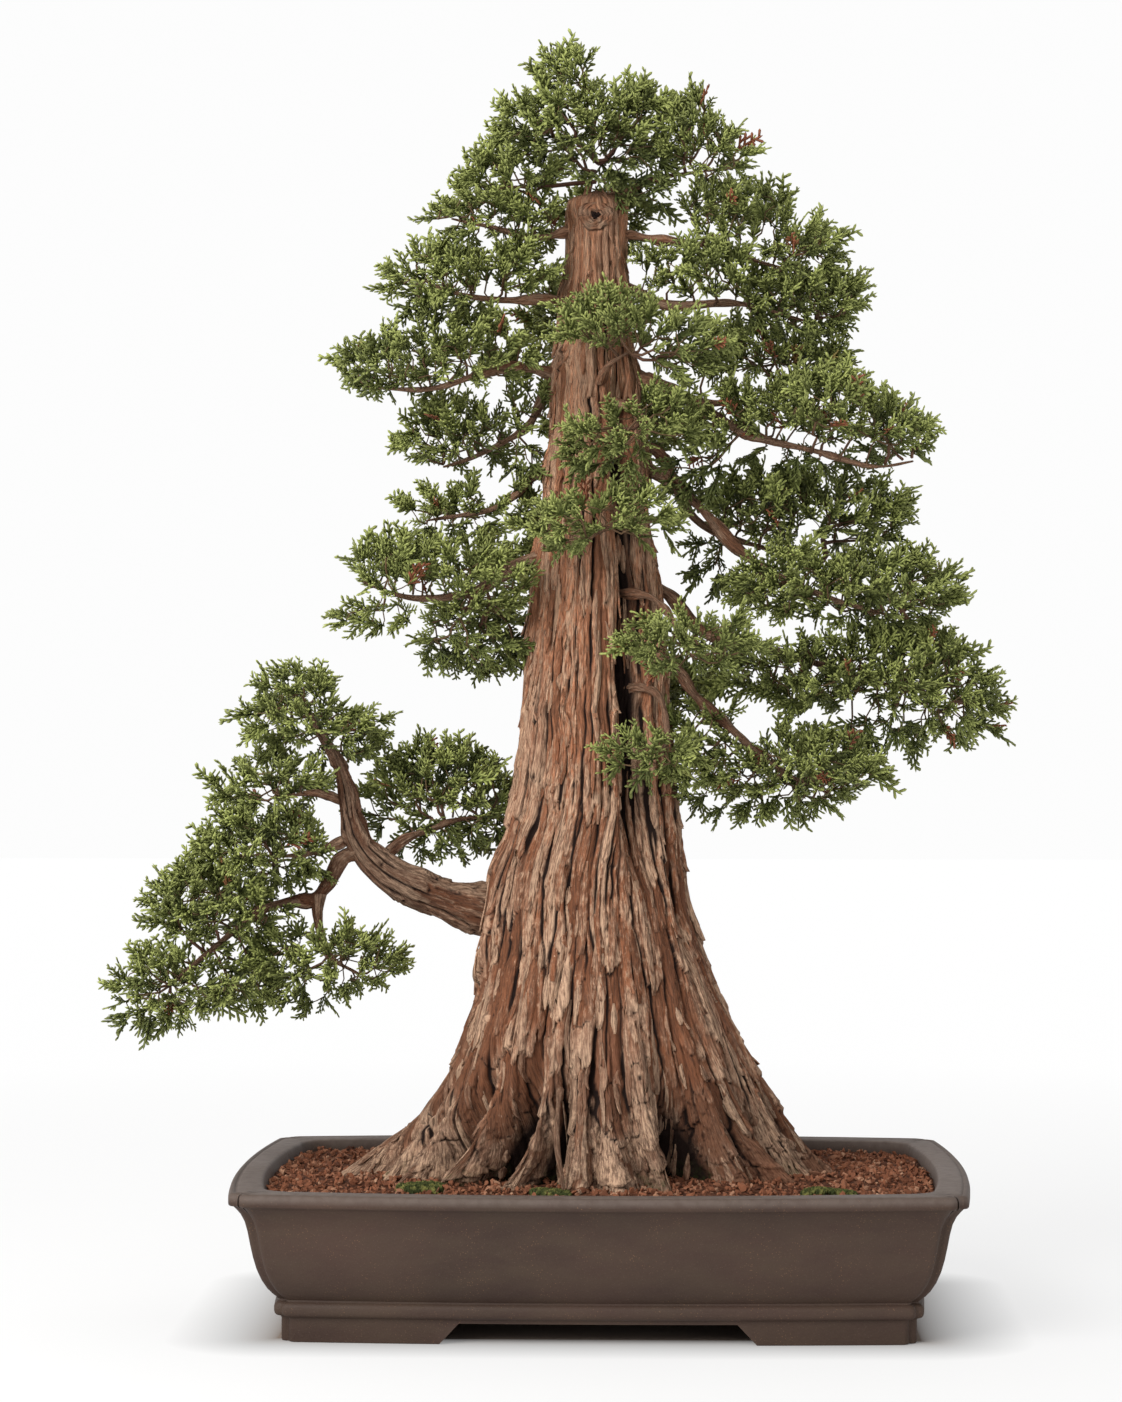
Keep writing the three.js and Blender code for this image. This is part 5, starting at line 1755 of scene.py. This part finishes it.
def floor_finish(stage):
    """Matt paper with painted shade under and round the pot's foot, where the pot keeps the light off it, that fades to
    the white of the surround.
    """
    nodes = Nodes("floor_paper", roughness=0.9, specular=0.05)
    place = nodes.place()
    parts = nodes.add("ShaderNodeSeparateXYZ", Vector=place)
    gaps = []
    for axis, middle, half in (("X", POT_CENTRE[0], 0.198), ("Y", POT_CENTRE[1], 0.112)):
        away = nodes.math("ABSOLUTE", nodes.math("SUBTRACT", parts.outputs[axis], middle))
        beyond = nodes.math("SUBTRACT", away, half)
        gaps.append(nodes.math("POWER", nodes.math("MAXIMUM", beyond, 0.0), 2.0))
    gap = nodes.math("SQRT", nodes.math("ADD", gaps[0], gaps[1]))
    # Painted shade: the paper turns dark brown under the pot's foot and pales again within 3 cm of it.
    outside_painted_shade = nodes.math("POWER", nodes.span(gap, 0.0, 0.030), 0.40)
    length = nodes.add("ShaderNodeVectorMath", operation="LENGTH", Vector=place).outputs["Value"]
    far = nodes.span(length, 0.35, 1.7)
    tone = nodes.span(nodes.noise(place, 2.0, 2.0), 0.3, 0.7, 0.985, 1.0)
    paper = nodes.mix(tone, toned(stage.floor, 0.93), stage.floor)
    paper = nodes.mix(outside_painted_shade, (0.30, 0.24, 0.20), paper)
    base = nodes.mix(far, paper, (0.0, 0.0, 0.0))
    # The floor glows evenly away from the pot; holding the glow back to nothing under its foot and fading it in over 7
    # cm is painted shade.
    glow_with_painted_shade = nodes.mix(nodes.math("POWER", nodes.span(gap, 0.0, 0.07), 0.6), (0.0, 0.0, 0.0), (0.66, 0.66, 0.66))
    nodes.feed(nodes.shader.inputs["Emission Color"], nodes.mix(far, glow_with_painted_shade, (0.98, 0.98, 0.98)))
    nodes.shader.inputs["Emission Strength"].default_value = 1.0
    return nodes.finish(base)


def add_light(name, place, power, size, tone):
    light = bpy.data.lights.new(name, "AREA")
    light.energy = power
    light.size = size
    light.color = tone
    lamp = bpy.data.objects.new(name, light)
    lamp.location = place
    aim = Vector((0.0, 0.0, 0.38)) - Vector(place)
    lamp.rotation_euler = aim.to_track_quat("-Z", "Y").to_euler()
    bpy.context.collection.objects.link(lamp)


def set_world():
    """A white surround at the height of the eye that darkens towards the ceiling."""
    world = bpy.data.worlds.new("studio")
    world.use_nodes = True
    tree = world.node_tree
    background = tree.nodes["Background"]
    place = tree.nodes.new("ShaderNodeTexCoord")
    parts = tree.nodes.new("ShaderNodeSeparateXYZ")
    fade = tree.nodes.new("ShaderNodeMapRange")
    fade.interpolation_type = "SMOOTHSTEP"
    for key, value in (("From Min", 0.27), ("From Max", 0.62), ("To Min", 1.0), ("To Max", 0.28)):
        fade.inputs[key].default_value = value
    tree.links.new(place.outputs["Generated"], parts.inputs["Vector"])
    tree.links.new(parts.outputs["Z"], fade.inputs["Value"])
    tree.links.new(fade.outputs["Result"], background.inputs["Color"])
    background.inputs["Strength"].default_value = 0.98
    bpy.context.scene.world = world
    bpy.context.scene.view_settings.view_transform = "Standard"


def set_camera(stage):
    camera = bpy.data.cameras.new("camera")
    camera.lens = stage.lens / MM
    camera.sensor_width = 36.0
    holder = bpy.data.objects.new("camera", camera)
    holder.location = (POT_CENTRE[0] + 0.0463, POT_CENTRE[1] - 2.4497, 0.393)
    aim = Vector((-0.0297, 0.9996, 0.0))
    holder.rotation_euler = aim.to_track_quat("-Z", "Y").to_euler()
    bpy.context.collection.objects.link(holder)
    bpy.context.scene.camera = holder


class BONSAI_PT_panel(bpy.types.Panel):
    """Lists the bonsai's settings and the steps that build it."""

    bl_idname = "BONSAI_PT_panel"
    bl_label = "Bonsai"
    bl_space_type = "VIEW_3D"
    bl_region_type = "UI"
    bl_category = "Bonsai"

    def draw(self, context):
        for key, group in SETTINGS.items():
            box = self.layout.box()
            for name in group.__annotations__:
                box.prop(getattr(context.scene, key), name)
        for operator in OPERATORS:
            self.layout.operator(operator.bl_idname)


OPERATORS = (
    BONSAI_OT_stage,
    BONSAI_OT_pot,
    BONSAI_OT_soil,
    BONSAI_OT_trunk,
    BONSAI_OT_flakes,
    BONSAI_OT_limbs,
    BONSAI_OT_foliage,
)


def register():
    for group in (*SETTINGS.values(), *OPERATORS, BONSAI_PT_panel):
        bpy.utils.register_class(group)
    for key, group in SETTINGS.items():
        setattr(bpy.types.Scene, key, PointerProperty(type=group))


def unregister():
    for key in SETTINGS:
        delattr(bpy.types.Scene, key)
    for group in reversed((*SETTINGS.values(), *OPERATORS, BONSAI_PT_panel)):
        bpy.utils.unregister_class(group)


def main():
    register()
    bpy.ops.bonsai.stage()
    bpy.ops.bonsai.pot()
    bpy.ops.bonsai.soil()
    bpy.ops.bonsai.trunk()
    bpy.ops.bonsai.flakes()
    bpy.ops.bonsai.limbs()
    bpy.ops.bonsai.foliage()


if __name__ == "__main__":
    main()
